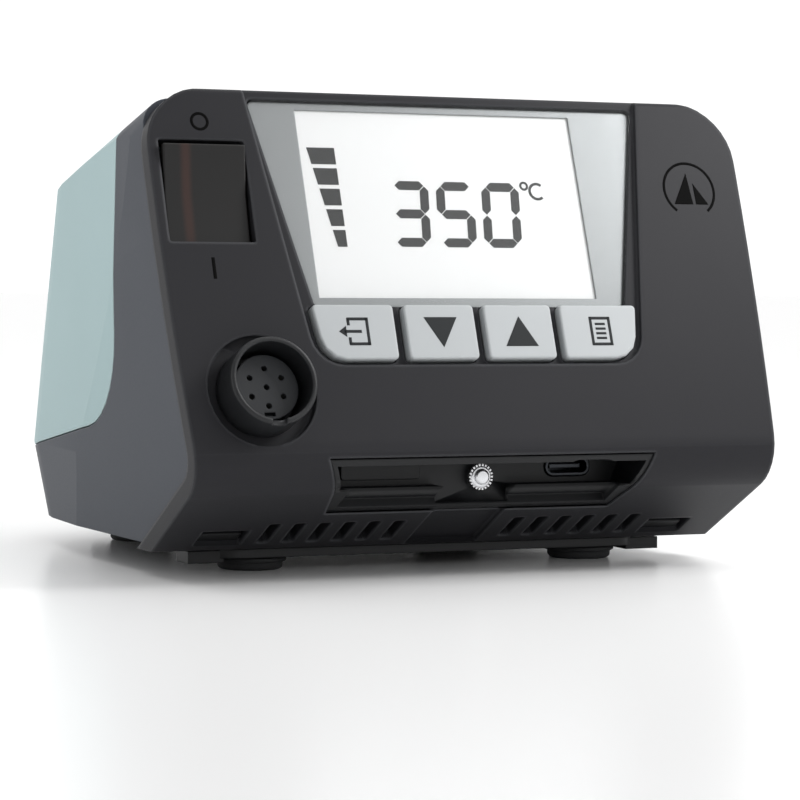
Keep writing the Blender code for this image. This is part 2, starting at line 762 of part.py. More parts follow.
def make_feet():
    for end, setback in (("front", FOOT_FRONT), ("rear", FOOT_REAR)):
        for hand, x in (("left", -FOOT_X), ("right", FOOT_X)):
            top = PLATE_LOW - GAP
            profile = (
                (0, 0),
                (FOOT_RADIUS - 0.6 * MM, 0),
                (FOOT_RADIUS, 0.6 * MM),
                (FOOT_RADIUS, top - 0.9 * MM),
                (FOOT_RADIUS + 0.8 * MM, top - 0.9 * MM),
                (FOOT_RADIUS + 0.8 * MM, top),
                (0, top),
            )
            place = (x, NOSE_Y + setback)
            foot = solid(f"foot_{end}_{hand}", GROUND, turned(profile, place, 24))
            finish(foot, "rubber")


def make_case_screws():
    for number, (x, y) in enumerate(screw_places(), 1):
        profile = (
            (0, PLATE_LOW + GAP),
            (SCREW_HEAD_RADIUS, PLATE_LOW + GAP),
            (SCREW_HEAD_RADIUS, PLATE_LOW + SCREW_HEAD_DEPTH),
            (SCREW_SHANK_RADIUS, PLATE_LOW + SCREW_HEAD_DEPTH),
            (SCREW_SHANK_RADIUS, SCREW_TIP),
            (0, SCREW_TIP),
        )
        screw = solid(f"case_screw_{number}", GROUND, turned(profile, (x, y), 16))
        finish(screw, "steel")


# ---- Display and keys ----


def make_display():
    window = solid("display_window", FACE, prism(window_outline(), WINDOW_BACK, WINDOW_FACE))
    finish(window, "clear_plastic")

    bezel = solid("display_bezel", FACE, prism(window_outline(), BEZEL_BACK, BEZEL_FACE))
    glass = rectangle(LCD_LEFT, LCD_RIGHT, LCD_LOW, LCD_TOP)
    cut(bezel, FACE, prism(glass, -FRONT_THICKNESS, 0))
    finish(bezel, "silver_plastic")

    finish(solid("lcd_glass", FACE, prism(glass, LCD_BACK, LCD_FACE)), "lcd_white")

    margin = BACKLIGHT_MARGIN
    tray = rectangle(LCD_LEFT - margin, LCD_RIGHT + margin, LCD_LOW - margin, LCD_TOP - margin)
    backlight = solid("lcd_backlight", FACE, prism(tray, DISPLAY_BOARD_FACE + GAP, LCD_BACK - GAP))
    finish(backlight, "silver_plastic")

    half = DISPLAY_BOARD_HALF
    outline = rectangle(-half, half, DISPLAY_BOARD_LOW, LCD_TOP, 2 * MM)
    low = DISPLAY_BOARD_FACE - BOARD_THICKNESS
    board = solid("display_board", FACE, prism(outline, low, DISPLAY_BOARD_FACE))
    finish(board, "board_green")


def key_centre(left, right):
    return (left + right) / 2, (KEY_LOW + KEY_TOP) / 2


def make_keys():
    for name, *edges in KEYS:
        x, y = key_centre(*edges[:2])
        centre = FACE @ Matrix.Translation((x, y, 0))
        to_key = Matrix.Translation((-x, -y, 0))
        flange_top = PANEL_BACK - GAP
        cap = key_outline(*edges, 0.0)
        skirt = key_outline(*edges, 2 * GAP)
        key = solid(name, centre, prism(shifted(cap, to_key), flange_top - KEY_FLANGE / 2, KEY_PROUD))
        join(key, centre, prism(shifted(skirt, to_key), flange_top - KEY_FLANGE, flange_top))
        finish(key, "silver_plastic")


def shifted(outline, matrix):
    return [(matrix @ Vector((x, y, 0))).to_2d() for x, y in outline]


def make_tact_switches():
    low = DISPLAY_BOARD_FACE + GAP
    half = TACT_SIZE / 2
    for name, left, right, *_ in KEYS:
        x, y = key_centre(left, right)
        body = rectangle(x - half, x + half, y - half, y + half)
        switch = solid(f"tact_{name[4:]}", FACE, prism(body, low, low + TACT_HEIGHT))
        join(switch, FACE, cylinder(PLUNGER_RADIUS, low + TACT_HEIGHT / 2, PLUNGER_TOP, (x, y), 12))
        finish(switch, "black_plastic")


# ---- Power switch ----


def rocker_outline():
    """The rocker seen along its axle: a shallow dish on top, standing straight before it is tilted."""
    reach = SWITCH_HALF_HEIGHT - ROCKER_CLEARANCE
    return [
        Vector((-reach, 2 * MM)),
        Vector((-reach / 5, -0.1 * MM)),
        Vector((reach / 5, -0.1 * MM)),
        Vector((reach, 2 * MM)),
        Vector((reach, 3.4 * MM)),
        Vector((0, 2.4 * MM)),
        Vector((-reach, 3.4 * MM)),
    ]


def make_rocker():
    """Its own Z runs along the axle, and it rests with its lower half pressed in."""
    pivot = FACE @ Matrix.Translation((SWITCH_U, SWITCH_V, ROCKER_PIVOT))
    along = pivot @ frame((0, 0, 0), (0, 1, 0), (0, 0, 1))
    tilted = along @ Matrix.Rotation(ROCKER_TILT, 4, "Z")
    half = SWITCH_HALF_WIDTH - ROCKER_SIDE_CLEARANCE
    rocker = solid("power_rocker", tilted, prism(rocker_outline(), -half, half))
    keel = trapezoid(3.4 * MM, 4 * MM, -3.6 * MM, 0)
    inner = SWITCH_BODY_HALF_WIDTH - SWITCH_WALL - 2 * GAP
    join(rocker, tilted, prism(keel, -inner, inner))
    finish(rocker, "black_plastic")


def make_switch_body():
    half_width, half_height = SWITCH_BODY_HALF_WIDTH, SWITCH_BODY_HALF_HEIGHT
    place = FACE @ Matrix.Translation((SWITCH_U, SWITCH_V, 0))
    outline = rectangle(-half_width, half_width, -half_height, half_height, 0.8 * MM)
    back = SWITCH_BODY_FACE - SWITCH_BODY_DEPTH
    body = solid("power_switch_body", place, prism(outline, back, SWITCH_BODY_FACE))
    inner = half_width - SWITCH_WALL
    hollow = rectangle(-inner, inner, SWITCH_WALL - half_height, half_height - SWITCH_WALL)
    cut(body, place, prism(hollow, SWITCH_BODY_FACE - 6 * MM, 0))
    blades = [rectangle(-2.4 * MM, 2.4 * MM, v - 0.4 * MM, v + 0.4 * MM) for v in (-6 * MM, 0, 6 * MM)]
    join(body, place, *(prism(blade, back - 7 * MM, back + 1 * MM) for blade in blades))
    finish(body, "black_plastic")


# ---- Tool socket ----


def make_tool_socket():
    place = FACE @ Matrix.Translation((SOCKET_U, SOCKET_V, 0))
    seat = GAP - CUP_DEPTH
    profile = (
        (RING_RADIUS, seat),
        (RING_RADIUS, RING_PROUD - RING_CHAMFER),
        (RING_RADIUS - RING_CHAMFER, RING_PROUD),
        (RING_BORE + 0.2 * MM, RING_PROUD),
        (RING_BORE, RING_PROUD - 0.3 * MM),
        (RING_BORE, PANEL_BACK),
        (BARREL_BORE, PANEL_BACK),
        (BARREL_BORE, BARREL_BACK),
        (BARREL_RADIUS, BARREL_BACK),
        (BARREL_RADIUS, seat),
    )
    shell = solid("socket_shell", place, turned(profile, sides=40))
    notch = rectangle(-1.5 * MM, 1.5 * MM, -RING_RADIUS - 1 * MM, -BARREL_BORE)
    cut(shell, place, prism(notch, RING_PROUD - 1.2 * MM, RING_PROUD + 1 * MM))
    finish(shell, "black_plastic")

    insert_radius = BARREL_BORE - GAP
    plug = cylinder(insert_radius, BARREL_BACK + GAP, INSERT_FACE, sides=40)
    insert = solid("socket_insert", place, plug)
    pins = [(0.0, 0.0)] + [tuple(p) for p in circle(0, 0, PIN_CIRCLE, PIN_COUNT)]
    turn = Matrix.Rotation(math.tau / PIN_COUNT / 2, 4, "Z")
    holes = [cylinder(PIN_HOLE, INSERT_FACE - 4 * MM, INSERT_FACE + 1 * MM, pin, 8) for pin in pins]
    cut(insert, place @ turn, *holes)
    key_slot = rectangle(-1.2 * MM, 1.2 * MM, -insert_radius + 0.7 * MM, -insert_radius + 1.5 * MM)
    cut(insert, place, prism(key_slot, INSERT_FACE - 1.5 * MM, INSERT_FACE + 1 * MM))
    finish(insert, "black_plastic")

    hexagon = circle(0, 0, CUP_RADIUS - 1 * MM, 6)
    nut = solid("socket_nut", place, prism(hexagon, PANEL_BACK - 3 * MM, PANEL_BACK - GAP))
    cut(nut, place, cylinder(BARREL_RADIUS + GAP, -FAR, 0))
    finish(nut, "steel")

    back = BARREL_BACK - GAP
    board = solid("socket_board", place, cylinder(BARREL_RADIUS, back - BOARD_THICKNESS, back, sides=24))
    finish(board, "board_green")


# ---- Chin: latch tabs and port bay ----


def make_latch_tabs():
    for hand, x in (("left", -POCKET_X), ("right", POCKET_X)):
        half = POCKET_HALF_WIDTH - 2 * GAP
        outline = rectangle(x - half, x + half, -POCKET_END + GAP, -POCKET_NEAR - 3.5 * MM)
        tab = solid(f"latch_tab_{hand}", CHIN, prism(outline, GAP - POCKET_DEPTH, -0.9 * MM))
        finish(tab, "black_plastic")


BAY_WALL_FACE = -NOSE_Y - BAY_BACK  # along the FRONT frame's Z


def make_port_bay():
    wall_face = BAY_WALL_FACE
    lining = trapezoid(BAY_HALF_LOW - GAP, BAY_HALF_TOP - GAP, BAY_LOW + GAP, BAY_TOP - GAP)
    bay = solid("port_bay", FRONT, prism(lining, wall_face - BAY_WALL, DEPTH))
    keep(bay, SIDE, prism(behind_front(0.4 * MM), -FAR, FAR))
    inner = BAY_WALL + GAP
    upper = trapezoid(BAY_HALF_LOW + 0.5 * MM, BAY_HALF_TOP - inner - 0.2 * MM, BAY_LEDGE, BAY_TOP - inner)
    cut(bay, FRONT, prism(upper, wall_face, DEPTH))
    middle = rectangle(-CHANNEL_HALF_WIDTH, CHANNEL_HALF_WIDTH, BAY_LOW + inner, BAY_TOP - inner)
    cut(bay, FRONT, prism(middle, wall_face, DEPTH))
    ledge = rectangle(-BAY_HALF_LOW + inner, BAY_HALF_LOW - inner, -7 * MM, 8 * MM)
    cut(bay, CHIN, prism(ledge, -BAY_LEDGE_DEPTH, FAR / 10))
    port = port_outline(GAP)
    cut(bay, FRONT, prism(port, 0, DEPTH), cylinder(STUD_RADIUS / 2 + GAP, 0, DEPTH, (STUD_X, STUD_Z), 16))
    finish(bay, "black_plastic")


def port_outline(grow=0.0):
    half_width, half_height = PORT_HALF_WIDTH + grow, PORT_HALF_HEIGHT + grow
    left, right = PORT_X - half_width, PORT_X + half_width
    return rectangle(left, right, PORT_Z - half_height, PORT_Z + half_height, 0.9 * half_height)


def make_port_pieces():
    face = BAY_WALL_FACE
    port = solid("data_port", FRONT, prism(port_outline(), face - 8 * MM, face + 0.4 * MM))
    cut(port, FRONT, prism(port_outline(-0.5 * MM), face - 6.5 * MM, DEPTH))
    tongue_low, tongue_top = PORT_Z - 0.4 * MM, PORT_Z + 0.4 * MM
    half = PORT_HALF_WIDTH - 1.6 * MM
    tongue = rectangle(PORT_X - half, PORT_X + half, tongue_low, tongue_top)
    join(port, FRONT, prism(tongue, face - 7 * MM, face - 1 * MM))
    finish(port, "steel")

    shank = STUD_RADIUS / 2
    profile = (
        (0, face - BAY_WALL - 5 * MM),
        (shank, face - BAY_WALL - 5 * MM),
        (shank, face + GAP),
        (STUD_RADIUS, face + GAP),
        (STUD_RADIUS, face + 2.6 * MM),
        (STUD_RADIUS - 0.7 * MM, face + 3.3 * MM),
        (0, face + 3.3 * MM),
    )
    stud = solid("bonding_stud", FRONT, turned(profile, (STUD_X, STUD_Z), 18))
    finish(stud, "steel")

    cap = rectangle(BLANK_X - 9 * MM, BLANK_X + 9 * MM, PORT_Z - 2 * MM, PORT_Z + 1.8 * MM, 0.8 * MM)
    finish(solid("port_blank", FRONT, prism(cap, face + GAP, face + 1.1 * MM)), "black_plastic")


# ---- Back ----

HOUSING_BACK = (DEPTH / 2 - REAR_CORNER.x + math.sin(REAR_LEAN) * HOUSING_LOW) / math.cos(REAR_LEAN)


def inlet_outline(grow=0.0):
    half = INLET_HALF_WIDTH + grow
    return rectangle(INLET_U - half, INLET_U + half, INLET_LOW - grow, INLET_TOP + grow, 2 * MM)


def drawer_outline(grow=0.0):
    half_width, half_height = DRAWER_HALF_WIDTH + grow, DRAWER_HALF_HEIGHT + grow
    return rectangle(
        INLET_U - half_width, INLET_U + half_width, DRAWER_V - half_height, DRAWER_V + half_height, 0.6 * MM
    )


def make_rear_housing():
    housing = solid("rear_housing", REAR, prism(housing_outline(), -HOUSING_INWARD, HOUSING_BACK))
    cut(housing, REAR, prism(housing_outline(-WALL), -DEPTH, HOUSING_BACK - WALL))
    flange_seat = HOUSING_BACK - INLET_FLANGE - GAP
    cut(housing, REAR, prism(inlet_outline(GAP), flange_seat, DEPTH))
    cut(housing, REAR, prism(inlet_outline(-INLET_LIP), 0, DEPTH))
    screws = [cylinder(SCREW_SHANK_RADIUS + GAP, 0, DEPTH, place, 12) for place in rear_screw_places()]
    cut(housing, REAR, cylinder(BOND_RADIUS / 2 + GAP, 0, DEPTH, (BOND_U, BOND_V)), *screws)
    slots = [rectangle(12 * MM, 26 * MM, v, v + 2 * MM) for v in (10 * MM, 14 * MM, 18 * MM)]
    cut(housing, REAR, *(prism(slot, 0, DEPTH) for slot in slots))
    finish(housing, "black_plastic")


def well_outline(grow=0.0):
    """The appliance inlet's shape: a rectangle with two cut corners."""
    half_width, half_height, cut_off = WELL_HALF_WIDTH + grow, WELL_HALF_HEIGHT + grow, 4.2 * MM
    low, top = WELL_V - half_height, WELL_V + half_height
    return [
        Vector((INLET_U - half_width, low)),
        Vector((INLET_U + half_width, low)),
        Vector((INLET_U + half_width, top - cut_off)),
        Vector((INLET_U + half_width - cut_off, top)),
        Vector((INLET_U - half_width + cut_off, top)),
        Vector((INLET_U - half_width, top - cut_off)),
    ]


INLET_FACE = HOUSING_BACK - 0.2 * MM


def make_mains_inlet():
    flange_back = HOUSING_BACK - INLET_FLANGE
    inlet = solid("mains_inlet", REAR, prism(inlet_outline(), flange_back, INLET_FACE))
    body = inlet_outline(-INLET_LIP - GAP)
    join(inlet, REAR, prism(body, INLET_FACE - INLET_BODY_DEPTH, flange_back + INLET_FLANGE / 2))
    cut(inlet, REAR, prism(well_outline(), INLET_FACE - WELL_DEPTH, DEPTH))
    cut(inlet, REAR, prism(drawer_outline(GAP), INLET_FACE - DRAWER_DEPTH - 1 * MM, DEPTH))
    root = INLET_FACE - INLET_BODY_DEPTH
    holes = [blade_outline(place, GAP) for place in blade_places()]
    cut(inlet, REAR, *(prism(hole, root - 5 * MM, INLET_FACE - WELL_DEPTH + 1 * MM) for hole in holes))
    finish(inlet, "black_plastic")
    for name, place in zip(("neutral", "earth", "line"), blade_places()):
        tip = INLET_FACE - WELL_DEPTH + BLADE_LENGTH
        blade = solid(f"inlet_blade_{name}", REAR, prism(blade_outline(place), root - 4 * MM, tip))
        finish(blade, "brass")


def blade_places():
    return [
        (INLET_U - BLADE_PITCH, WELL_V - BLADE_RISE),
        (INLET_U, WELL_V + BLADE_RISE),
        (INLET_U + BLADE_PITCH, WELL_V - BLADE_RISE),
    ]


def blade_outline(place, grow=0.0):
    x, y = place
    half_width, half_height = 1 * MM + grow, 2 * MM + grow
    return rectangle(x - half_width, x + half_width, y - half_height, y + half_height)


def make_fuse_drawer():
    """A tray that carries one glass fuse lying across it, and slides straight out."""
    tray = prism(drawer_outline(), INLET_FACE - DRAWER_DEPTH, INLET_FACE + GAP)
    drawer = solid("fuse_drawer", REAR, tray)
    half = FUSE_LENGTH / 2 + GAP
    middle = INLET_FACE - DRAWER_DEPTH / 2
    bed = rectangle(INLET_U - half, INLET_U + half, DRAWER_V - FUSE_RADIUS - GAP, DEPTH)
    cut(drawer, REAR, prism(bed, middle - FUSE_RADIUS - GAP, middle + FUSE_RADIUS + GAP))
    finish(drawer, "black_plastic")

    across = REAR @ Matrix.Translation((INLET_U, DRAWER_V, middle)) @ Matrix.Rotation(math.pi / 2, 4, "Y")
    fuse = solid("fuse", across, cylinder(FUSE_RADIUS, -FUSE_LENGTH / 2, FUSE_LENGTH / 2, sides=16))
    finish(fuse, "fuse_glass")


def rear_screw_places():
    middle = (HOUSING_LOW + HOUSING_TOP) / 2
    return [(-REAR_SCREW_U, middle), (REAR_SCREW_U, middle)]


def make_rear_fittings():
    back = HOUSING_BACK - WALL
    profile = (
        (0, back - 8 * MM),
        (BOND_RADIUS / 2, back - 8 * MM),
        (BOND_RADIUS / 2, HOUSING_BACK - 2 * MM),
        (BOND_RADIUS / 2, HOUSING_BACK + GAP - 0.4 * MM),
        (2 * MM, HOUSING_BACK + GAP - 0.4 * MM),
        (2 * MM, back - 4 * MM),
        (0, back - 4 * MM),
    )
    socket = solid("bonding_socket", REAR, turned(profile, (BOND_U, BOND_V), 24))
    finish(socket, "brass")
    for hand, place in zip(("right", "left"), rear_screw_places()):
        shank, head = SCREW_SHANK_RADIUS, SCREW_HEAD_RADIUS
        depth = back - 3 * MM
        stem = cylinder(shank, depth, HOUSING_BACK - 0.5 * MM, place, 12)
        screw = solid(f"rear_screw_{hand}", REAR, stem)
        join(screw, REAR, cylinder(head, depth - 1.5 * MM, depth + 1 * MM, place, 16))
        finish(screw, "steel")


# ---- Inside ----


def make_transformer():
    bracket_top = FLOOR_TOP + GAP + BRACKET_THICKNESS
    low = bracket_top + GAP
    place = Matrix.Translation((TRANSFORMER_X, TRANSFORMER_Y, low + CORE_HEIGHT / 2)) @ FRONT
    half_width, half_height = CORE_HALF_WIDTH, CORE_HEIGHT / 2
    stack = rectangle(-half_width, half_width, -half_height, half_height)
    core = solid("transformer_core", place, prism(stack, -CORE_HALF_DEPTH, CORE_HALF_DEPTH))
    windows = [
        rectangle(min(a, b), max(a, b), LIMB - half_height, half_height - LIMB)
        for a, b in ((-LIMB, LIMB - half_width), (LIMB, half_width - LIMB))
    ]
    cut(core, place, *(prism(window, -FAR, FAR) for window in windows))
    finish(core, "steel")

    upright = Matrix.Translation((TRANSFORMER_X, TRANSFORMER_Y, low + CORE_HEIGHT / 2))
    reach = half_width - LIMB - GAP
    depth = WINDING_HALF_DEPTH
    tall = half_height - LIMB - GAP
    coil = rectangle(-reach, reach, -depth, depth, 5 * MM)
    winding = solid("transformer_winding", upright, prism(coil, -tall, tall))
    limb = rectangle(-LIMB - GAP, LIMB + GAP, -CORE_HALF_DEPTH - GAP, CORE_HALF_DEPTH + GAP)
    cut(winding, upright, prism(limb, -FAR, FAR))
    finish(winding, "copper")

    base = rectangle(
        TRANSFORMER_X - BRACKET_HALF_WIDTH,
        TRANSFORMER_X + BRACKET_HALF_WIDTH,
        TRANSFORMER_Y - CORE_HALF_DEPTH,
        TRANSFORMER_Y + CORE_HALF_DEPTH,
    )
    bracket = solid("transformer_bracket", GROUND, prism(base, FLOOR_TOP + GAP, bracket_top))
    finish(bracket, "steel")


def make_main_board():
    outline = rectangle(
        MAIN_BOARD_X - MAIN_BOARD_HALF_WIDTH,
        MAIN_BOARD_X + MAIN_BOARD_HALF_WIDTH,
        MAIN_BOARD_Y - MAIN_BOARD_HALF_DEPTH,
        MAIN_BOARD_Y + MAIN_BOARD_HALF_DEPTH,
        2 * MM,
    )
    top = MAIN_BOARD_HEIGHT + BOARD_THICKNESS
    finish(solid("main_board", GROUND, prism(outline, MAIN_BOARD_HEIGHT, top)), "board_green")

    seat = Matrix.Translation((MAIN_BOARD_X, MAIN_BOARD_Y, top + GAP))
    for number, (x, y, radius, height) in enumerate(CAPACITORS, 1):
        can = solid(f"capacitor_{number}", seat, cylinder(radius, 0, height, (x, y), 20))
        finish(can, "black_plastic")
    for name, look, (x, y, half_x, half_y, height) in BLOCKS:
        block = rectangle(x - half_x, x + half_x, y - half_y, y + half_y)
        finish(solid(name, seat, prism(block, 0, height)), look)

    sink = solid("heatsink", seat, prism(rectangle(-17 * MM, 7 * MM, 19 * MM, 25 * MM), 0, 26 * MM))
    fins = [rectangle(x * MM, (x + 2) * MM, 20.5 * MM, 26 * MM) for x in range(-15, 6, 4)]
    cut(sink, seat, *(prism(fin, -FAR, FAR) for fin in fins))
    finish(sink, "steel")


# Parts on the main board, from its middle: x, y, radius, height, and x, y, half sizes, height
CAPACITORS = (
    (-12 * MM, -8 * MM, 6.2 * MM, 21 * MM),
    (-12 * MM, 6 * MM, 5 * MM, 16 * MM),
)
BLOCKS = (
    ("triac", "black_plastic", (-5 * MM, 16.3 * MM, 5 * MM, 2.2 * MM, 15 * MM)),
    ("relay", "black_plastic", (9 * MM, 3 * MM, 7.5 * MM, 9 * MM, 15 * MM)),
    ("terminal_block", "silver_plastic", (6 * MM, -20 * MM, 11 * MM, 4 * MM, 10 * MM)),
)


def clear_scene():
    for old in list(bpy.data.objects):
        bpy.data.objects.remove(old)


def main():
    clear_scene()
    add_looks()
    make_front_panel()
    make_lower_case()
    make_top_cover()
    make_base_plate()
    make_feet()
    make_case_screws()
    make_display()
    make_keys()
    make_tact_switches()
    make_rocker()
    make_switch_body()
    make_tool_socket()
    make_latch_tabs()
    make_port_bay()
    make_port_pieces()
    make_rear_housing()
    make_mains_inlet()
    make_fuse_drawer()
    make_rear_fittings()
    make_transformer()
    make_main_board()


main()
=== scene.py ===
# %% [markdown]
# # A soldering iron station
#
# The control unit of a soldering station: a box of moulded plastic with a leaning face,
# a white display, four keys, a rocker switch and a round socket for the tool. The packed
# model brings every working piece at its real size. This lesson gives each of them its
# finish, and adds the printed marks, display segments and small fittings.

import json
import math

import bmesh
import bpy
import numpy as np
from mathutils import Matrix, Vector

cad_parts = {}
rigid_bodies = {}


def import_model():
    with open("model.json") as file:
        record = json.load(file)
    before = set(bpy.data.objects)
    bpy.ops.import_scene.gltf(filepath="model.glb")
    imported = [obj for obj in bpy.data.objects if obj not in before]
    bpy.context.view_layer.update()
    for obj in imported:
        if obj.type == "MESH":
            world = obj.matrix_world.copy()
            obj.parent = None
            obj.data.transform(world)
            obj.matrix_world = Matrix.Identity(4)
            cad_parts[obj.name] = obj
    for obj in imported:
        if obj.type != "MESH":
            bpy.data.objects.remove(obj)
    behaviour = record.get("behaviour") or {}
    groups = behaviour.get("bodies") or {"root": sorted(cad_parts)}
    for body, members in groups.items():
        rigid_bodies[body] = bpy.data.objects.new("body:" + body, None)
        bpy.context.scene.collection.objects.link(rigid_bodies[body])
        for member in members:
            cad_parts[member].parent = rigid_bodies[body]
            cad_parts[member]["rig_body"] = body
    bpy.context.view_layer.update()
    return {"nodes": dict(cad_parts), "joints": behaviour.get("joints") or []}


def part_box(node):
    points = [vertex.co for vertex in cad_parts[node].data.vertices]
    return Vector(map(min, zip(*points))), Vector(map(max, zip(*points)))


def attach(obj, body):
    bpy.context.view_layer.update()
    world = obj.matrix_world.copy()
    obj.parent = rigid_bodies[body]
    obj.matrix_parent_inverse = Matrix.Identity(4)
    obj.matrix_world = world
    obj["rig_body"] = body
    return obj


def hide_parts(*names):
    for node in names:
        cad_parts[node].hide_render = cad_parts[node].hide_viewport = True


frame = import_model()
MM = 0.001

# %% [markdown]
# ## The camera
#
# A long lens from the front left, a little above the middle of the unit. It could be aimed
# with a Track To constraint, but three named angles and a distance give the same view from
# numbers, and nothing has to be evaluated first.

# %% Camera
VIEW_AZIMUTH = math.radians(24.38)
VIEW_DROP = math.radians(2.71)
VIEW_ROLL = math.radians(0.57)
VIEW_DISTANCE = 629.4 * MM
VIEW_TARGET = Vector((-22.8 * MM, -70.5 * MM, 37.6 * MM))
LENS = 139.3  # mm, on a sensor 36 mm wide

forward = Vector((
    math.sin(VIEW_AZIMUTH) * math.cos(VIEW_DROP),
    math.cos(VIEW_AZIMUTH) * math.cos(VIEW_DROP),
    -math.sin(VIEW_DROP),
))
level = Vector((math.cos(VIEW_AZIMUTH), -math.sin(VIEW_AZIMUTH), 0))
right = math.cos(VIEW_ROLL) * level + math.sin(VIEW_ROLL) * level.cross(forward)
camera = bpy.data.objects.new("camera", bpy.data.cameras.new("camera"))
camera.matrix_world = Matrix((right, right.cross(forward), -forward)).transposed().to_4x4()
camera.matrix_world.translation = VIEW_TARGET - VIEW_DISTANCE * forward
camera.data.lens = LENS
camera.data.sensor_width = 36
camera.data.clip_start = 0.01
bpy.context.scene.collection.objects.link(camera)
bpy.context.scene.camera = camera
print("camera at", [round(x, 3) for x in camera.matrix_world.translation])

# %% [markdown]
# ## A few helpers for nodes
#
# Colours are picked as they look on screen, in sRGB, and one function turns them into the
# linear numbers that shaders work in. One function adds any node, with its settings and what
# feeds its inputs. Every tree below is built from these two, the studio's own sky too.

# %% Colour and node helpers


def linear(code):
    """The linear colour of an sRGB hex code such as 'a5bdc0'."""
    parts = [int(code[k : k + 2], 16) / 255 for k in (0, 2, 4)]
    return (*(p / 12.92 if p <= 0.04045 else ((p + 0.055) / 1.055) ** 2.4 for p in parts), 1.0)


def add(tree, kind, feeds=None, **settings):
    """Adds a node. settings are its properties or inputs, and feeds its inputs' sources or numbers."""
    node = tree.nodes.new(kind)
    for name, value in settings.items():
        if hasattr(node, name):
            setattr(node, name, value)
        else:
            node.inputs[name.replace("_", " ")].default_value = value
    for socket, source in (feeds or {}).items():
        if isinstance(source, bpy.types.NodeSocket):
            tree.links.new(source, node.inputs[socket])
        else:
            node.inputs[socket].default_value = source
    return node


def new_material(name):
    """A material with an empty Principled shader, as (material, node tree, shader)."""
    material = bpy.data.materials.new(name)
    material.use_nodes = True
    return material, material.node_tree, material.node_tree.nodes["Principled BSDF"]


def add_edge_mask(tree, radius):
    """1 on edges sharper than the radius rounds, and 0 on flat faces."""
    bevel = add(tree, "ShaderNodeBevel", samples=4, Radius=radius)
    flat = add(tree, "ShaderNodeNewGeometry")
    both = {0: bevel.outputs[0], 1: flat.outputs["Normal"]}
    likeness = add(tree, "ShaderNodeVectorMath", both, operation="DOT_PRODUCT").outputs["Value"]
    mask = add(tree, "ShaderNodeMapRange", {"Value": likeness}, From_Min=0.995, From_Max=0.9)
    return bevel.outputs[0], mask.outputs["Result"]


print("helpers ready")

# %% [markdown]
# ## Studio light
#
# A white surround and three soft boxes. Dark plastic shows its form only by what it reflects. A
# dark flag fills the sky at the front left, so that the face and the side stay deep, and a
# small, near box on the right brightens the face's top right corner.

# %% Light
FLAG_SIDE = Vector((-0.86, -0.42, 0.3)).normalized()  # the way to the middle of the dark flag
OPEN_SKY, FLAG_SKY = 1.12, 0.45  # brightness away from the flag, and in front of it

world = bpy.data.worlds.new("studio")
world.use_nodes = True
studio = world.node_tree
surround = studio.nodes["Background"]
surround.inputs["Color"].default_value = (1.0, 1.0, 1.0, 1.0)
way = add(studio, "ShaderNodeTexCoord").outputs["Generated"]
near_flag = add(studio, "ShaderNodeVectorMath", {0: way, 1: FLAG_SIDE}, operation="DOT_PRODUCT")
fade = {"From Min": 0.25, "From Max": 0.8, "To Min": OPEN_SKY, "To Max": FLAG_SKY}
fade["Value"] = near_flag.outputs["Value"]
shade = add(studio, "ShaderNodeMapRange", fade, interpolation_type="SMOOTHSTEP")
studio.links.new(shade.outputs["Result"], surround.inputs["Strength"])
bpy.context.scene.world = world
bpy.context.scene.view_settings.view_transform = "Standard"


def add_soft_box(name, place, aim, size, watts):
    """A square area light that faces a point."""
    light = bpy.data.lights.new(name, "AREA")
    light.energy = watts
    light.size = size
    lamp = bpy.data.objects.new(name, light)
    bpy.context.scene.collection.objects.link(lamp)
    turn = (Vector(aim) - Vector(place)).to_track_quat("-Z", "Y")
    lamp.matrix_world = Matrix.Translation(place) @ turn.to_matrix().to_4x4()
    return lamp


add_soft_box("box_right", (0.21, -0.17, 0.25), (0.06, -0.03, 0.09), 0.12, 0.55)
add_soft_box("box_left", (-0.9, -0.05, 0.3), (0, 0, 0.04), 0.5, 1.0)
add_soft_box("box_top", (0.0, 0.2, 1.0), (0, 0, 0.05), 0.8, 2.0)
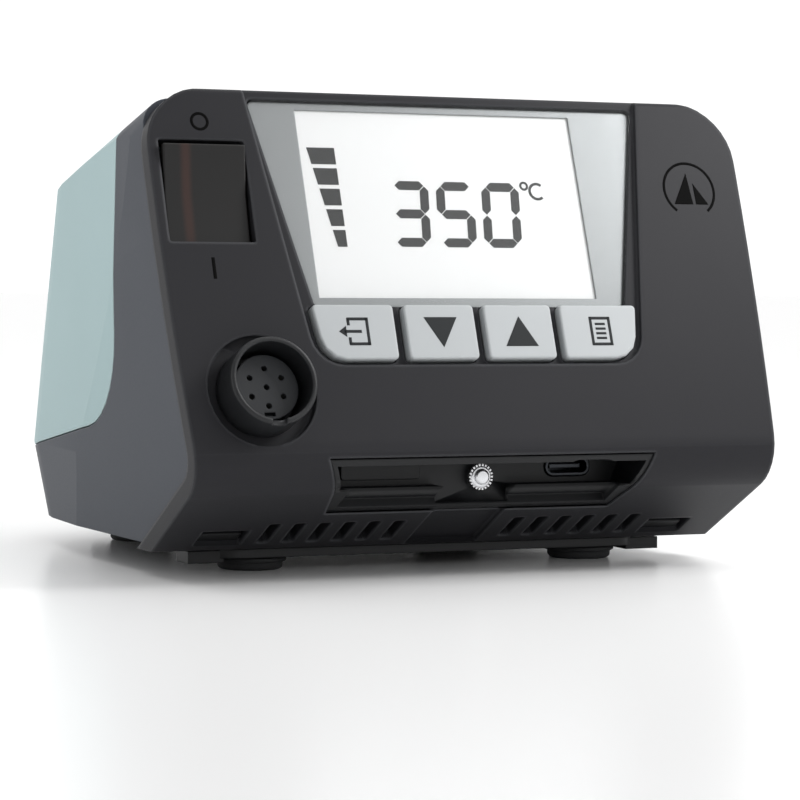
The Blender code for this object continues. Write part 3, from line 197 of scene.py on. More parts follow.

# %% [markdown]
# ## Moulded plastics
#
# The shells are injection moulded ABS. The mould is spark eroded, which leaves a fine matt
# grain on the plastic. The edges get a lighter colour, a painted highlight. A noise gives the
# grain as a bump and as small changes of gloss, a second, slow noise gives the faint clouding
# that every moulding has, and the Bevel node finds the edges. The real grain is about 0.1 mm.
# It is drawn at the sizes below, so that it shows at arm's length.

# %% Moulded plastic


def moulded(name, colour, cloud, edge, roughness, grain=0.35 * MM, radius=0.4 * MM, gloss=0.5):
    """Moulded ABS: base colour, its clouding, a painted highlight on its edges and its grain."""
    material, tree, shader = new_material(name)
    place = add(tree, "ShaderNodeTexCoord").outputs["Object"]
    fine = add(tree, "ShaderNodeTexNoise", {"Vector": place}, Scale=1 / grain, Detail=3.0)
    slow = add(tree, "ShaderNodeTexNoise", {"Vector": place}, Scale=1 / (28 * MM), Detail=2.0)
    rounded, mask = add_edge_mask(tree, radius)
    tones = {"Factor": slow.outputs["Fac"], "A": linear(colour), "B": linear(cloud)}
    body = add(tree, "ShaderNodeMix", tones, data_type="RGBA")
    # painted highlight: the lighter edge colour stands in for the line of light that a rounded edge catches
    tones = {"Factor": mask, "A": body.outputs["Result"], "B": linear(edge)}
    painted_edge_highlight = add(tree, "ShaderNodeMix", tones, data_type="RGBA")
    spread = {"Value": fine.outputs["Fac"], "To Min": roughness - 0.06, "To Max": roughness + 0.06}
    matt = add(tree, "ShaderNodeMapRange", spread)
    relief = {"Height": fine.outputs["Fac"], "Normal": rounded}
    bump = add(tree, "ShaderNodeBump", relief, Strength=0.35, Distance=0.012 * MM)
    tree.links.new(painted_edge_highlight.outputs["Result"], shader.inputs["Base Color"])
    tree.links.new(matt.outputs["Result"], shader.inputs["Roughness"])
    tree.links.new(bump.outputs["Normal"], shader.inputs["Normal"])
    shader.inputs["IOR"].default_value = 1.53
    shader.inputs["Specular IOR Level"].default_value = gloss
    return material


# Each comment says what the finish gives the eye. The three colours are body, clouding, painted edge
# highlight.
# Deep, matt charcoal, whose rounded edges carry a thin line of light:
panel_abs = moulded("panel_abs_spark_eroded", "262629", "2a2a2d", "4e4f52", 0.46, radius=1.0 * MM, gloss=0.12)
# A cooler, lighter grey than the panel, so that the case reads as a second moulding:
shell_abs = moulded("shell_abs_spark_eroded", "3d4149", "42464e", "565a63", 0.5, gloss=0.2)
# The one coloured part: soft, pale and almost without gloss:
cover_abs = moulded("cover_abs_satin_teal", "a0babc", "a5bfc1", "bccdce", 0.5)
# Bright satin paint over a finer grain, which makes the keys look smooth to a finger:
key_abs = moulded("key_abs_painted_silver", "aaaeb0", "afb3b5", "c4c6c7", 0.42, grain=0.2 * MM)
# Near black, so that bays, tabs and the inlet recede:
black_abs = moulded("fitting_abs_black", "131416", "161719", "202123", 0.45, gloss=0.3)
# The darkest and smoothest plastic, for the gloss of a switch:
rocker_pa = moulded("rocker_polyamide_black", "0c0b0b", "0e0d0d", "1c1b1a", 0.38, gloss=0.3)
# A dark ring that still shows its round form:
socket_pa = moulded("socket_polyamide_black", "1c1d1f", "1f2022", "303134", 0.4, gloss=0.3)
# A shade lighter than the ring, so that the seven holes stand out in it:
insert_pps = moulded("insert_pps_grey", "26282b", "2a2c2f", "3a3c3f", 0.5, gloss=0.3)
# Rubber spreads light widely, so the feet show no highlight at all:
foot_rubber = moulded("foot_rubber_moulded", "1b1c1e", "1f2022", "2a2b2d", 0.75, grain=0.5 * MM)
# A plain mid grey that sets the terminals apart from the green board:
terminal_pa = moulded("terminal_polyamide_grey", "8a9094", "8f9599", "a5abae", 0.5)
# Flakes in the silver ink mirror a little, so the border changes from dark to bright across it:
bezel_print = moulded("bezel_screen_print_silver", "86898a", "8b8e8f", "989b9c", 0.4, grain=0.15 * MM)
bezel_print.node_tree.nodes["Principled BSDF"].inputs["Metallic"].default_value = 0.55
# An even, milky white with no form of its own:
diffuser = moulded("diffuser_polycarbonate_white", "e6e8e8", "eceeee", "f4f4f4", 0.4)
print(len(bpy.data.materials), "materials so far")

# %% [markdown]
# ## Metals
#
# The bonding stud is turned and bright plated, the screws are zinc plated, the blades are
# plated brass. A metal takes its colour from its reflection, so each one gets metallic 1,
# a fine directional noise for the tool marks, and edges rubbed brighter.

# %% Metals


def turned_metal(name, colour, worn_colour, roughness, mark=0.12 * MM):
    """Plated metal with fine tool marks across Z and bright edges."""
    material, tree, shader = new_material(name)
    place = add(tree, "ShaderNodeTexCoord").outputs["Object"]
    drawn = add(tree, "ShaderNodeMapping", {"Vector": place, "Scale": (0.15, 0.15, 1.0)})
    marks = add(tree, "ShaderNodeTexNoise", {"Vector": drawn.outputs[0]}, Scale=1 / mark, Detail=2.0)
    rounded, mask = add_edge_mask(tree, 0.25 * MM)
    tones = {"Factor": mask, "A": linear(colour), "B": linear(worn_colour)}
    tint = add(tree, "ShaderNodeMix", tones, data_type="RGBA")
    spread = {"Value": marks.outputs["Fac"], "To Min": roughness - 0.08, "To Max": roughness + 0.1}
    gloss = add(tree, "ShaderNodeMapRange", spread)
    relief = {"Height": marks.outputs["Fac"], "Normal": rounded}
    bump = add(tree, "ShaderNodeBump", relief, Strength=0.2, Distance=0.01 * MM)
    tree.links.new(tint.outputs["Result"], shader.inputs["Base Color"])
    tree.links.new(gloss.outputs["Result"], shader.inputs["Roughness"])
    tree.links.new(bump.outputs["Normal"], shader.inputs["Normal"])
    shader.inputs["Metallic"].default_value = 1.0
    return material


# The brightest spot on the dark chin:
stud_steel = turned_metal("stud_steel_bright_plated", "d2d3d6", "f0f0f0", 0.22)
# A dark metal rim that only glints at its edges:
port_nickel = turned_metal("port_nickel_black", "3a3c3f", "5a5c5f", 0.35)
# A cool, slightly dull silver:
screw_steel = turned_metal("screw_steel_zinc_plated", "9fa2a4", "c9cacb", 0.35)
# Warm, pale silver, with the brass just showing through the plating:
blade_brass = turned_metal("blade_brass_nickel_plated", "c9c3ae", "e0dcc8", 0.28)
# Clear yellow, which marks the socket on the black back:
bond_brass = turned_metal("bond_brass_turned", "c8a25a", "e5c987", 0.28)
# Light and soft, with a broad highlight along each fin:
sink_aluminium = turned_metal("sink_aluminium_extruded", "a9adb0", "cfd2d4", 0.4)
print("metals: 6")

# %% [markdown]
# ## Materials inside the case
#
# Nobody sees these with the cover on, but the model opens up. Each gets the pattern of its
# making: the core is a stack of sheets, the winding is lacquered wire laid in turns, and the
# boards are green solder mask with raised copper tracks under it.

# %% Inside materials


def banded(name, colour, gap_colour, pitch, axis, roughness, metallic):
    """A stack of thin bands along an axis, with darker gaps between them."""
    material, tree, shader = new_material(name)
    place = add(tree, "ShaderNodeTexCoord").outputs["Object"]
    bands = {"Vector": place, "Scale": math.tau / 20 / pitch, "Distortion": 0.4}
    waves = add(tree, "ShaderNodeTexWave", bands, bands_direction=axis)
    tones = {"Factor": waves.outputs["Fac"], "A": linear(gap_colour), "B": linear(colour)}
    tint = add(tree, "ShaderNodeMix", tones, data_type="RGBA")
    bump = add(tree, "ShaderNodeBump", {"Height": waves.outputs["Fac"]}, Distance=pitch / 3)
    tree.links.new(tint.outputs["Result"], shader.inputs["Base Color"])
    tree.links.new(bump.outputs["Normal"], shader.inputs["Normal"])
    shader.inputs["Roughness"].default_value = roughness
    shader.inputs["Metallic"].default_value = metallic
    return material


def masked_board(name):
    """Green solder mask over copper tracks, which show as slightly lighter, raised cells."""
    material, tree, shader = new_material(name)
    place = add(tree, "ShaderNodeTexCoord").outputs["Object"]
    cells = {"Vector": place, "Scale": 1 / (4 * MM)}
    tracks = add(tree, "ShaderNodeTexVoronoi", cells, feature="DISTANCE_TO_EDGE").outputs["Distance"]
    step = add(tree, "ShaderNodeMapRange", {"Value": tracks}, From_Min=0.06, From_Max=0.1)
    tones = {"Factor": step.outputs["Result"], "A": linear("0f3d24"), "B": linear("1c6a3c")}
    tint = add(tree, "ShaderNodeMix", tones, data_type="RGBA")
    bump = add(tree, "ShaderNodeBump", {"Height": step.outputs["Result"]}, Distance=0.04 * MM)
    tree.links.new(tint.outputs["Result"], shader.inputs["Base Color"])
    tree.links.new(bump.outputs["Normal"], shader.inputs["Normal"])
    shader.inputs["Roughness"].default_value = 0.3
    return material


# Fine dark lines between bright sheets:
core_steel = banded("core_steel_laminated", "8d9093", "4a4c4e", 0.5 * MM, "Y", 0.45, 1.0)
# Warm red turns that each catch a thin highlight under the lacquer:
coil_copper = banded("coil_copper_lacquered", "b0602c", "5a2810", 0.6 * MM, "Z", 0.3, 1.0)
# Glossy green with paler paths in it:
board_mask = masked_board("board_solder_mask_green")
# Smooth, dark blue shrink sleeve:
sleeve_pvc = moulded("sleeve_pvc_dark_blue", "1f2a48", "243052", "3a4668", 0.3)
print("inside materials: 4")

# %% [markdown]
# ## Clear window, display and rocker
#
# The window is a flat sheet of clear acrylic. Glass made with transmission would hide the
# display in shadow, because light must then find its way through by chance, so the window is
# mostly see-through by its alpha, and only its gloss stays. The display behind it is a bright
# reflective sheet with a faint pixel texture, and its dark segments are a separate print.
# The rocker is dark, tinted plastic with a lamp behind it. The lamp's slot shows as a faint
# amber streak, which a narrow band along the object's own X gives.

# %% Window, display and rocker materials
# Almost unseen: only a soft sheen tells that a window is there.
window_clear, tree, shader = new_material("window_acrylic_clear")
place = add(tree, "ShaderNodeTexCoord").outputs["Object"]
haze = add(tree, "ShaderNodeTexNoise", {"Vector": place}, Scale=1 / (15 * MM))
smear = add(tree, "ShaderNodeMapRange", {"Value": haze.outputs["Fac"]}, To_Min=0.06, To_Max=0.14)
tree.links.new(smear.outputs["Result"], shader.inputs["Roughness"])
shader.inputs["Base Color"].default_value = linear("8d9191")
shader.inputs["IOR"].default_value = 1.49
shader.inputs["Alpha"].default_value = 0.05


def display_material(name, colour, between, roughness):
    """A sheet of display glass, with the fine square grid of its electrodes."""
    material, tree, shader = new_material(name)
    place = add(tree, "ShaderNodeTexCoord").outputs["Object"]
    squares = {"Vector": place, "Scale": 1 / (0.3 * MM), "Randomness": 0.0}
    grid = add(tree, "ShaderNodeTexVoronoi", squares, distance="CHEBYCHEV").outputs["Distance"]
    slow = add(tree, "ShaderNodeTexNoise", {"Vector": place}, Scale=1 / (40 * MM)).outputs["Fac"]
    both = add(tree, "ShaderNodeMath", {0: grid, 1: slow}, operation="MULTIPLY")
    tones = {"Factor": both.outputs[0], "A": linear(colour), "B": linear(between)}
    tint = add(tree, "ShaderNodeMix", tones, data_type="RGBA")
    tree.links.new(tint.outputs["Result"], shader.inputs["Base Color"])
    shader.inputs["Roughness"].default_value = roughness
    return material


# The brightest large area of the front, with a pixel texture too fine to see from afar:
lcd_white = display_material("lcd_glass_reflective", "f3f4f4", "eceded", 0.35)
# Segments nearly black against the white:
lcd_dark = display_material("lcd_segment_dark", "121213", "18191a", 0.5)
# Soft, dark grey ink on the silver keys:
mark_dark = moulded("mark_pad_print_dark", "1c1f21", "212426", "282b2d", 0.55, grain=0.15 * MM, gloss=0.2)
# Flat black without gloss, which is what makes ink show on charcoal plastic:
mark_black = moulded("mark_pad_print_black", "040404", "060606", "080808", 0.7, grain=0.15 * MM, gloss=0.05)

# A dull amber streak, the unlit lamp seen through the rocker:
rocker_low, rocker_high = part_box("power_rocker")
LAMP_SHARE = 0.27  # of the rocker's width, from its left edge
LAMP_X = rocker_low[0] + LAMP_SHARE * (rocker_high[0] - rocker_low[0])
tree = rocker_pa.node_tree
rocker_colour = tree.nodes["Principled BSDF"].inputs["Base Color"]
place = add(tree, "ShaderNodeTexCoord").outputs["Object"]
across = add(tree, "ShaderNodeSeparateXYZ", {0: place}).outputs["X"]
off_lamp = add(tree, "ShaderNodeMath", {0: across, 1: LAMP_X}, operation="SUBTRACT").outputs[0]
width_off = add(tree, "ShaderNodeMath", {0: off_lamp}, operation="ABSOLUTE").outputs[0]
band = {"From Min": 0.2 * MM, "From Max": 1.7 * MM, "To Min": 0.6, "To Max": 0.0}
streak = add(tree, "ShaderNodeMapRange", {"Value": width_off, **band}, interpolation_type="SMOOTHSTEP")
plain_colour = rocker_colour.links[0].from_socket
tones = {"Factor": streak.outputs["Result"], "A": plain_colour, "B": linear("3c221a")}
glow = add(tree, "ShaderNodeMix", tones, data_type="RGBA")
tree.links.new(glow.outputs["Result"], rocker_colour)
print("lamp streak at x =", round(LAMP_X / MM, 2), "mm")

# %% [markdown]
# ## Smooth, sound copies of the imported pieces
#
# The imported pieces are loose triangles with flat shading. Round corners made of short flats
# would show as facets, so each visible piece is copied, its doubled points are merged, its
# flat areas become single faces, and its normals are smoothed across shallow edges only. The
# Weighted Normal modifier keeps the big flat faces truly flat. A piece with simple edges gets
# a real bevel too, and the material's own edge rounding takes care of the others.

# %% Refining helper


def refined(node, material, bevel=0.0, segments=2, angle=30):
    """A smooth-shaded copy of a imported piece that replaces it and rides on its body."""
    source = frame["nodes"][node]
    bm = bmesh.new()
    bm.from_mesh(source.data)
    bmesh.ops.remove_doubles(bm, verts=bm.verts, dist=0.001 * MM)
    bmesh.ops.dissolve_limit(bm, angle_limit=math.radians(0.4), verts=bm.verts, edges=bm.edges)
    mesh = bpy.data.meshes.new(node + "_fine")
    bm.to_mesh(mesh)
    bm.free()
    work = bpy.data.objects.new("work", mesh)
    bpy.context.scene.collection.objects.link(work)
    if bevel:
        edges = work.modifiers.new("edges", "BEVEL")
        edges.width = bevel
        edges.segments = segments
        edges.limit_method = "ANGLE"
        edges.angle_limit = math.radians(angle)
        edges.use_clamp_overlap = False
        edges.miter_outer = "MITER_ARC"
    piece = plain_copy(work, node + "_piece", angle)
    bpy.data.objects.remove(work)
    dress(piece, material, source["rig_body"])
    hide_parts(node)
    return piece


def plain_copy(work, name, angle=30):
    """The evaluated mesh of an object as a new object, smooth across edges under the angle."""
    bpy.context.view_layer.update()
    evaluated = work.evaluated_get(bpy.context.evaluated_depsgraph_get())
    mesh = bpy.data.meshes.new_from_object(evaluated)
    mesh.shade_smooth()
    mesh.set_sharp_from_angle(angle=math.radians(angle))
    piece = bpy.data.objects.new(name, mesh)
    bpy.context.scene.collection.objects.link(piece)
    weigh = piece.modifiers.new("weigh", "WEIGHTED_NORMAL")
    weigh.keep_sharp = True
    weigh.mode = "FACE_AREA_WITH_ANGLE"
    bpy.context.view_layer.update()
    evaluated = piece.evaluated_get(bpy.context.evaluated_depsgraph_get())
    weighed = bpy.data.meshes.new_from_object(evaluated)
    piece.modifiers.clear()
    piece.data = weighed
    return piece


def dress(piece, material, body):
    """Gives a finished piece its material and its body."""
    piece.data.materials.clear()
    piece.data.materials.append(material)
    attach(piece, body)


ROOT = frame["nodes"]["front_panel"]["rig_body"]
print("main body:", ROOT)

# %% [markdown]
# ## The shells
#
# Three mouldings make the case: a dark panel that leans back, a dark lower shell and a pale
# teal cover. The panel's proud, rounded rim catches a line of light all the way round it,
# which is what tells the eye where the panel ends.

# %% Shells
refined("front_panel", panel_abs, angle=24)
refined("lower_case", shell_abs, angle=24)
refined("top_cover", cover_abs, angle=24)
refined("base_plate", black_abs)
refined("rear_housing", black_abs, 0.5 * MM)
refined("port_bay", black_abs)
print("shells replaced: 6")

# %% [markdown]
# ## Frames of reference on the leaning face
#
# Everything on the face is laid out across (u) and up (v), with w standing out of it. One
# matrix turns that into the object's place. The four keys slide straight into the face, so
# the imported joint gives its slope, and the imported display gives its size.

# %% Face frame


def place_frame(origin, up, right=(1, 0, 0)):
    """A matrix with its X to the right, its Y up and its Z out of the surface."""
    x, y = Vector(right).normalized(), Vector(up).normalized()
    turn = Matrix((x, y, x.cross(y))).transposed().to_4x4()
    return Matrix.Translation(Vector(origin)) @ turn


FACE_ORIGIN = (0, -69.548 * MM, 26.4 * MM)  # on the face's middle line, just above the nose
press = next(joint for joint in frame["joints"] if joint["child"] == "key_menu")
inward = Vector(press["axis"]).normalized()
FACE = place_frame(FACE_ORIGIN, (0, -inward.z, inward.y))


def local_box(node, matrix=FACE):
    """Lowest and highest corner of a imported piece, measured in a frame of reference."""
    back = matrix.inverted()
    points = np.array([back @ v.co for v in frame["nodes"][node].data.vertices])
    return Vector(points.min(0)), Vector(points.max(0))


lcd_low, lcd_high = local_box("lcd_glass")
print("display", [round(x / MM, 1) for x in (lcd_high - lcd_low)], "mm")

# %% [markdown]
# ## Flat printed shapes
#
# Segments, icons and marks are all flat outlines with a little thickness. They could be
# decals, but a thin solid keeps its place in every view and in the exported model. One
# function fills convex loops and gives them their thickness, and a ring is a row of such loops.

# %% Printed shapes


def printed(name, loops, low, high, material, body):
    """Flat solids on the face, from convex loops of (u, v), between two heights."""
    bm = bmesh.new()
    for loop in loops:
        rings = [[bm.verts.new(FACE @ Vector((u, v, w))) for u, v in loop] for w in (low, high)]
        bm.faces.new(rings[0])
        bm.faces.new(rings[1])
        for k in range(len(loop)):
            bm.faces.new((rings[0][k - 1], rings[0][k], rings[1][k], rings[1][k - 1]))
    bmesh.ops.recalc_face_normals(bm, faces=bm.faces)
    mesh = bpy.data.meshes.new(name)
    bm.to_mesh(mesh)
    bm.free()
    piece = bpy.data.objects.new(name, mesh)
    bpy.context.scene.collection.objects.link(piece)
    dress(piece, material, body)
    return piece


def box_loop(left, right, low, high):
    """A rectangle as a loop."""
    return [(left, low), (right, low), (right, high), (left, high)]


def stroke(start, end, width):
    """A straight stroke between two points, as a convex loop."""
    a, b = Vector(start), Vector(end)
    side = (b - a).normalized().orthogonal() * width / 2
    return [tuple(a - side), tuple(b - side), tuple(b + side), tuple(a + side)]


def arc_loops(centre, radius, width, start, end, steps=32):
    """An open ring as a row of short convex pieces, from one angle to another."""
    middle = Vector(centre)
    turns = [start + (end - start) * k / steps for k in range(steps + 1)]
    spokes = [Vector((math.cos(t), math.sin(t))) for t in turns]
    inner, outer = radius - width / 2, radius + width / 2
    return [
        [tuple(middle + reach * spoke) for reach, spoke in ((inner, a), (outer, a), (outer, b), (inner, b))]
        for a, b in zip(spokes, spokes[1:])
    ]


print("printing helpers ready")

# %% [markdown]
# ## Temperature digits
#
# The display shows three slanted seven-segment digits and the sign of degrees. A segment is a bar
# with pointed ends. The seven bars of one digit are listed once by letter, and each digit
# picks the ones it lights. The whole digit leans by the same small slope.

# %% Seven-segment digits
DIGIT_WIDTH = 8.9 * MM
DIGIT_HEIGHT = 14.8 * MM
DIGIT_LOW = 46.2 * MM
DIGIT_LEAN = 0.09
SEGMENT = 2.0 * MM  # a bar's width
SEGMENT_GAP = 0.12 * MM
LIT = {"3": "abcdg", "5": "acdfg", "0": "abcdef"}


def segment_loops(left):
    """The seven bars of one digit, by letter, before it leans."""
    half = SEGMENT / 2
    x0, x1 = left + half, left + DIGIT_WIDTH - half
    y0, y1, y2 = DIGIT_LOW + half, DIGIT_LOW + DIGIT_HEIGHT / 2, DIGIT_LOW + DIGIT_HEIGHT - half

    def bar(start, end):
        a, b = Vector(start), Vector(end)
        along = (b - a).normalized()
        side = Vector((-along.y, along.x)) * half
        a, b = a + along * SEGMENT_GAP, b - along * SEGMENT_GAP
        inner_a, inner_b = a + along * half, b - along * half
        return [a, inner_a - side, inner_b - side, b, inner_b + side, inner_a + side]

    return {
        "a": bar((x0, y2), (x1, y2)),
        "b": bar((x1, y1), (x1, y2)),
        "c": bar((x1, y0), (x1, y1)),
        "d": bar((x0, y0), (x1, y0)),
        "e": bar((x0, y0), (x0, y1)),
        "f": bar((x0, y1), (x0, y2)),
        "g": bar((x0, y1), (x1, y1)),
    }


segments = []
for digit, left in (("3", -15.9 * MM), ("5", -5.2 * MM), ("0", 5.5 * MM)):
    bars = segment_loops(left)
    for letter in LIT[digit]:
        segments.append([(p.x + DIGIT_LEAN * (p.y - DIGIT_LOW), p.y) for p in bars[letter]])
ink_low = lcd_high.z + 0.2 * MM
ink_high = lcd_high.z + 0.34 * MM
printed("lcd_digits", segments, ink_low, ink_high, lcd_dark, ROOT)

C_OPENING = math.radians(50)  # above and below the middle of the letter's open side
degree = arc_loops((17.0 * MM, 60.4 * MM), 0.8 * MM, 0.5 * MM, 0, math.tau, 20)
letter_c = arc_loops((20.0 * MM, 59.2 * MM), 1.75 * MM, 0.6 * MM, C_OPENING, math.tau - C_OPENING, 18)
printed("lcd_degree_sign", degree + letter_c, ink_low, ink_high, lcd_dark, ROOT)
print(len(segments), "lit segments")

# %% [markdown]
# ## The display's front sheet
#
# A thin white polariser lies on the glass and reaches a little way under the bezel, so no
# dark gap shows round the picture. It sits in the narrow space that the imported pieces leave.

# %% Front sheet
SHEET_MARGIN = 1.2 * MM
SHEET_CLEARANCE = 0.02 * MM  # to the glass behind and to the bezel in front
sides = (lcd_low.x - SHEET_MARGIN, lcd_high.x + SHEET_MARGIN)
sheet_outline = box_loop(*sides, lcd_low.y - SHEET_MARGIN, lcd_high.y + SHEET_MARGIN)
bezel_back = local_box("display_bezel")[0].z
sheet_back, sheet_face = lcd_high.z + SHEET_CLEARANCE, bezel_back - SHEET_CLEARANCE
printed("lcd_front_sheet", [sheet_outline], sheet_back, sheet_face, lcd_white, ROOT)
print("sheet thickness", round((sheet_face - sheet_back) / MM, 2), "mm")

# %% [markdown]
# ## Bars by Geometry Nodes
#
# The power graph is one bar shape, repeated at an even pitch and narrowed towards the bottom.
# Drawing five shapes by hand would do, but a rule is easier to change: a line of points, a
# block on each of them, and then one Set Position node that tapers them all together. The
# small functions here build any such tree, feed it its sizes and turn its result into a
# plain mesh.

# %% Geometry Nodes helpers


def new_tree(name, sizes):
    """An empty Geometry Nodes tree with one named float input for each size."""
    tree = bpy.data.node_groups.new(name, "GeometryNodeTree")
    tree.interface.new_socket("Geometry", in_out="OUTPUT", socket_type="NodeSocketGeometry")
    for size in sizes:
        tree.interface.new_socket(size, in_out="INPUT", socket_type="NodeSocketFloat")
    return tree, tree.nodes.new("NodeGroupInput"), tree.nodes.new("NodeGroupOutput")


def close_tree(tree, output, geometry, material):
    """Ends a tree in real geometry with its material set."""
    real = add(tree, "GeometryNodeRealizeInstances", {0: geometry})
    painted = add(tree, "GeometryNodeSetMaterial", {"Geometry": real.outputs[0]}, Material=material)
    tree.links.new(painted.outputs[0], output.inputs[0])


def grown(name, tree, sizes, matrix, angle=30):
    """Runs a tree with these sizes, and returns its result as a plain object in its place."""
    work = bpy.data.objects.new("work", bpy.data.meshes.new("work"))
    bpy.context.scene.collection.objects.link(work)
    modifier = work.modifiers.new("nodes", "NODES")
    modifier.node_group = tree
    for item in tree.interface.items_tree:
        if item.in_out == "INPUT" and item.name in sizes:
            modifier[item.identifier] = float(sizes[item.name])
    piece = plain_copy(work, name, angle)
    bpy.data.objects.remove(work)
    piece.data.transform(matrix)
    return piece


# %% Power graph
graph_sizes = {
    "Bars": 5,
    "Pitch": 4.6 * MM,
    "Width": 6.3 * MM,
    "Height": 3.7 * MM,
    "Thickness": 0.16 * MM,
    "Top": 20.24 * MM,
    "Taper": 0.03 / MM,
}
tree, sizes_in, result = new_tree("power_graph", graph_sizes)
get = sizes_in.outputs
step = add(tree, "ShaderNodeCombineXYZ", {"Y": get["Pitch"]}).outputs[0]
line = add(tree, "GeometryNodeMeshLine", {"Count": get["Bars"], "Offset": step}).outputs[0]
sides = {"X": get["Width"], "Y": get["Height"], "Z": get["Thickness"]}
size = add(tree, "ShaderNodeCombineXYZ", sides).outputs[0]
block = add(tree, "GeometryNodeMeshCube", {"Size": size}).outputs[0]
bars = add(tree, "GeometryNodeInstanceOnPoints", {"Points": line, "Instance": block}).outputs[0]
solid_bars = add(tree, "GeometryNodeRealizeInstances", {0: bars}).outputs[0]
where = add(tree, "GeometryNodeInputPosition").outputs[0]
parts = add(tree, "ShaderNodeSeparateXYZ", {0: where}).outputs
half_width = add(tree, "ShaderNodeMath", {0: get["Width"], 1: 0.5}, operation="MULTIPLY").outputs[0]
from_right = add(tree, "ShaderNodeMath", {0: parts["X"], 1: half_width}, operation="SUBTRACT").outputs[0]
below_top = add(tree, "ShaderNodeMath", {0: get["Top"], 1: parts["Y"]}, operation="SUBTRACT").outputs[0]
loss = add(tree, "ShaderNodeMath", {0: below_top, 1: get["Taper"]}, operation="MULTIPLY").outputs[0]
kept = add(tree, "ShaderNodeMath", {0: 1.0, 1: loss}, operation="SUBTRACT").outputs[0]
narrowed = add(tree, "ShaderNodeMath", {0: from_right, 1: kept}, operation="MULTIPLY").outputs[0]
moved = {"X": narrowed, "Y": parts["Y"], "Z": parts["Z"]}
new_place = add(tree, "ShaderNodeCombineXYZ", moved).outputs[0]
shaped = add(tree, "GeometryNodeSetPosition", {"Geometry": solid_bars, "Position": new_place})
close_tree(tree, result, shaped.outputs[0], lcd_dark)
GRAPH_FOOT = (-26.3 * MM, 47.9 * MM)  # the middle of the lowest bar
graph_place = FACE @ Matrix.Translation((*GRAPH_FOOT, (ink_low + ink_high) / 2))
power_graph = grown("lcd_power_graph", tree, graph_sizes, graph_place)
dress(power_graph, lcd_dark, ROOT)
print("power graph:", len(power_graph.data.polygons), "faces")

# %% [markdown]
# ## Rings of small parts
#
# Contacts in the tool socket and teeth round the bonding stud follow the same rule: copies
# on a circle, each turned to face outwards. One tree with five sizes makes them all, with a
# block or a pin as the part that repeats.

# %% Ring tree


def ring_tree(name, material, pins=False):
    """Blocks, or round pins, on a circle in the XY plane. A pin's Width is its radius."""
    sizes = ("Count", "Radius", "Width", "Depth", "Length")
    tree, sizes_in, result = new_tree(name, sizes)
    get = sizes_in.outputs
    circle = add(tree, "GeometryNodeMeshCircle", {"Vertices": get["Count"], "Radius": get["Radius"]})
    if pins:
        sizes = {"Radius": get["Width"], "Depth": get["Length"]}
        part = add(tree, "GeometryNodeMeshCylinder", sizes, Vertices=16).outputs["Mesh"]
    else:
        sides = {"X": get["Depth"], "Y": get["Width"], "Z": get["Length"]}
        size = add(tree, "ShaderNodeCombineXYZ", sides).outputs[0]
        part = add(tree, "GeometryNodeMeshCube", {"Size": size}).outputs[0]
    index = add(tree, "GeometryNodeInputIndex").outputs[0]
    share = add(tree, "ShaderNodeMath", {0: index, 1: get["Count"]}, operation="DIVIDE").outputs[0]
    angle = add(tree, "ShaderNodeMath", {0: share, 1: math.tau}, operation="MULTIPLY").outputs[0]
    turn = add(tree, "ShaderNodeCombineXYZ", {"Z": angle}).outputs[0]
    places = {"Points": circle.outputs[0], "Instance": part, "Rotation": turn}
    copies = add(tree, "GeometryNodeInstanceOnPoints", places)
    close_tree(tree, result, copies.outputs[0], material)
    return tree


print("ring tree ready")

# %% [markdown]
# ## Turned pieces
#
# The bonding stud and the screws are turned. A lathe profile, spun round its own axis, gives
# the round part. The Screw modifier could do it too, but a loop also makes the lobes of a
# screw's recess. The stud's edge is serrated for grip, and its teeth come from the ring tree.

# %% Lathe helper and bonding stud


def spun(name, profile, matrix, sides=32):
    """A closed solid from a profile of (radius, height), whose ends lie on the axis.

    A radius may be a function of the angle, for a part that isn't quite round.
    """
    bm = bmesh.new()
    rings = []
    for radius, height in profile:
        if radius == 0:
            rings.append([bm.verts.new((0, 0, height))] * sides)
        else:
            ring = []
            for turn in (math.tau * k / sides for k in range(sides)):
                reach = radius(turn) if callable(radius) else radius
                ring.append(bm.verts.new((reach * math.cos(turn), reach * math.sin(turn), height)))
            rings.append(ring)
    for a, b in zip(rings, rings[1:]):
        for k in range(sides):
            corners = dict.fromkeys((a[k - 1], a[k], b[k], b[k - 1]))
            if len(corners) > 2:
                bm.faces.new(corners)
    bmesh.ops.recalc_face_normals(bm, faces=bm.faces)
    mesh = bpy.data.meshes.new(name)
    bm.to_mesh(mesh)
    bm.free()
    work = bpy.data.objects.new("work", mesh)
    bpy.context.scene.collection.objects.link(work)
    piece = plain_copy(work, name, 28)
    bpy.data.objects.remove(work)
    piece.data.transform(matrix)
    return piece


FRONT = place_frame((0, 0, 0), (0, 0, 1))
stud_low, stud_high = local_box("bonding_stud", FRONT)
stud_x, stud_z = (stud_low.x + stud_high.x) / 2, (stud_low.y + stud_high.y) / 2
stud_radius = (stud_high.x - stud_low.x) / 2
stud_place = FRONT @ Matrix.Translation((stud_x, stud_z, stud_high.z))
stud_profile = [
    (0, -3.0 * MM),
    (0.8 * stud_radius, -3.0 * MM),
    (0.8 * stud_radius, -2.2 * MM),
    (0.88 * stud_radius, -2.1 * MM),
    (0.88 * stud_radius, -1.1 * MM),
    (0.72 * stud_radius, -0.8 * MM),
    (0.6 * stud_radius, -0.8 * MM),
    (0.58 * stud_radius, -0.35 * MM),
    (0.45 * stud_radius, -0.08 * MM),
    (0.2 * stud_radius, 0),
    (0, 0),
]
stud = spun("bonding_stud_piece", stud_profile, stud_place)
dress(stud, stud_steel, ROOT)
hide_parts("bonding_stud")
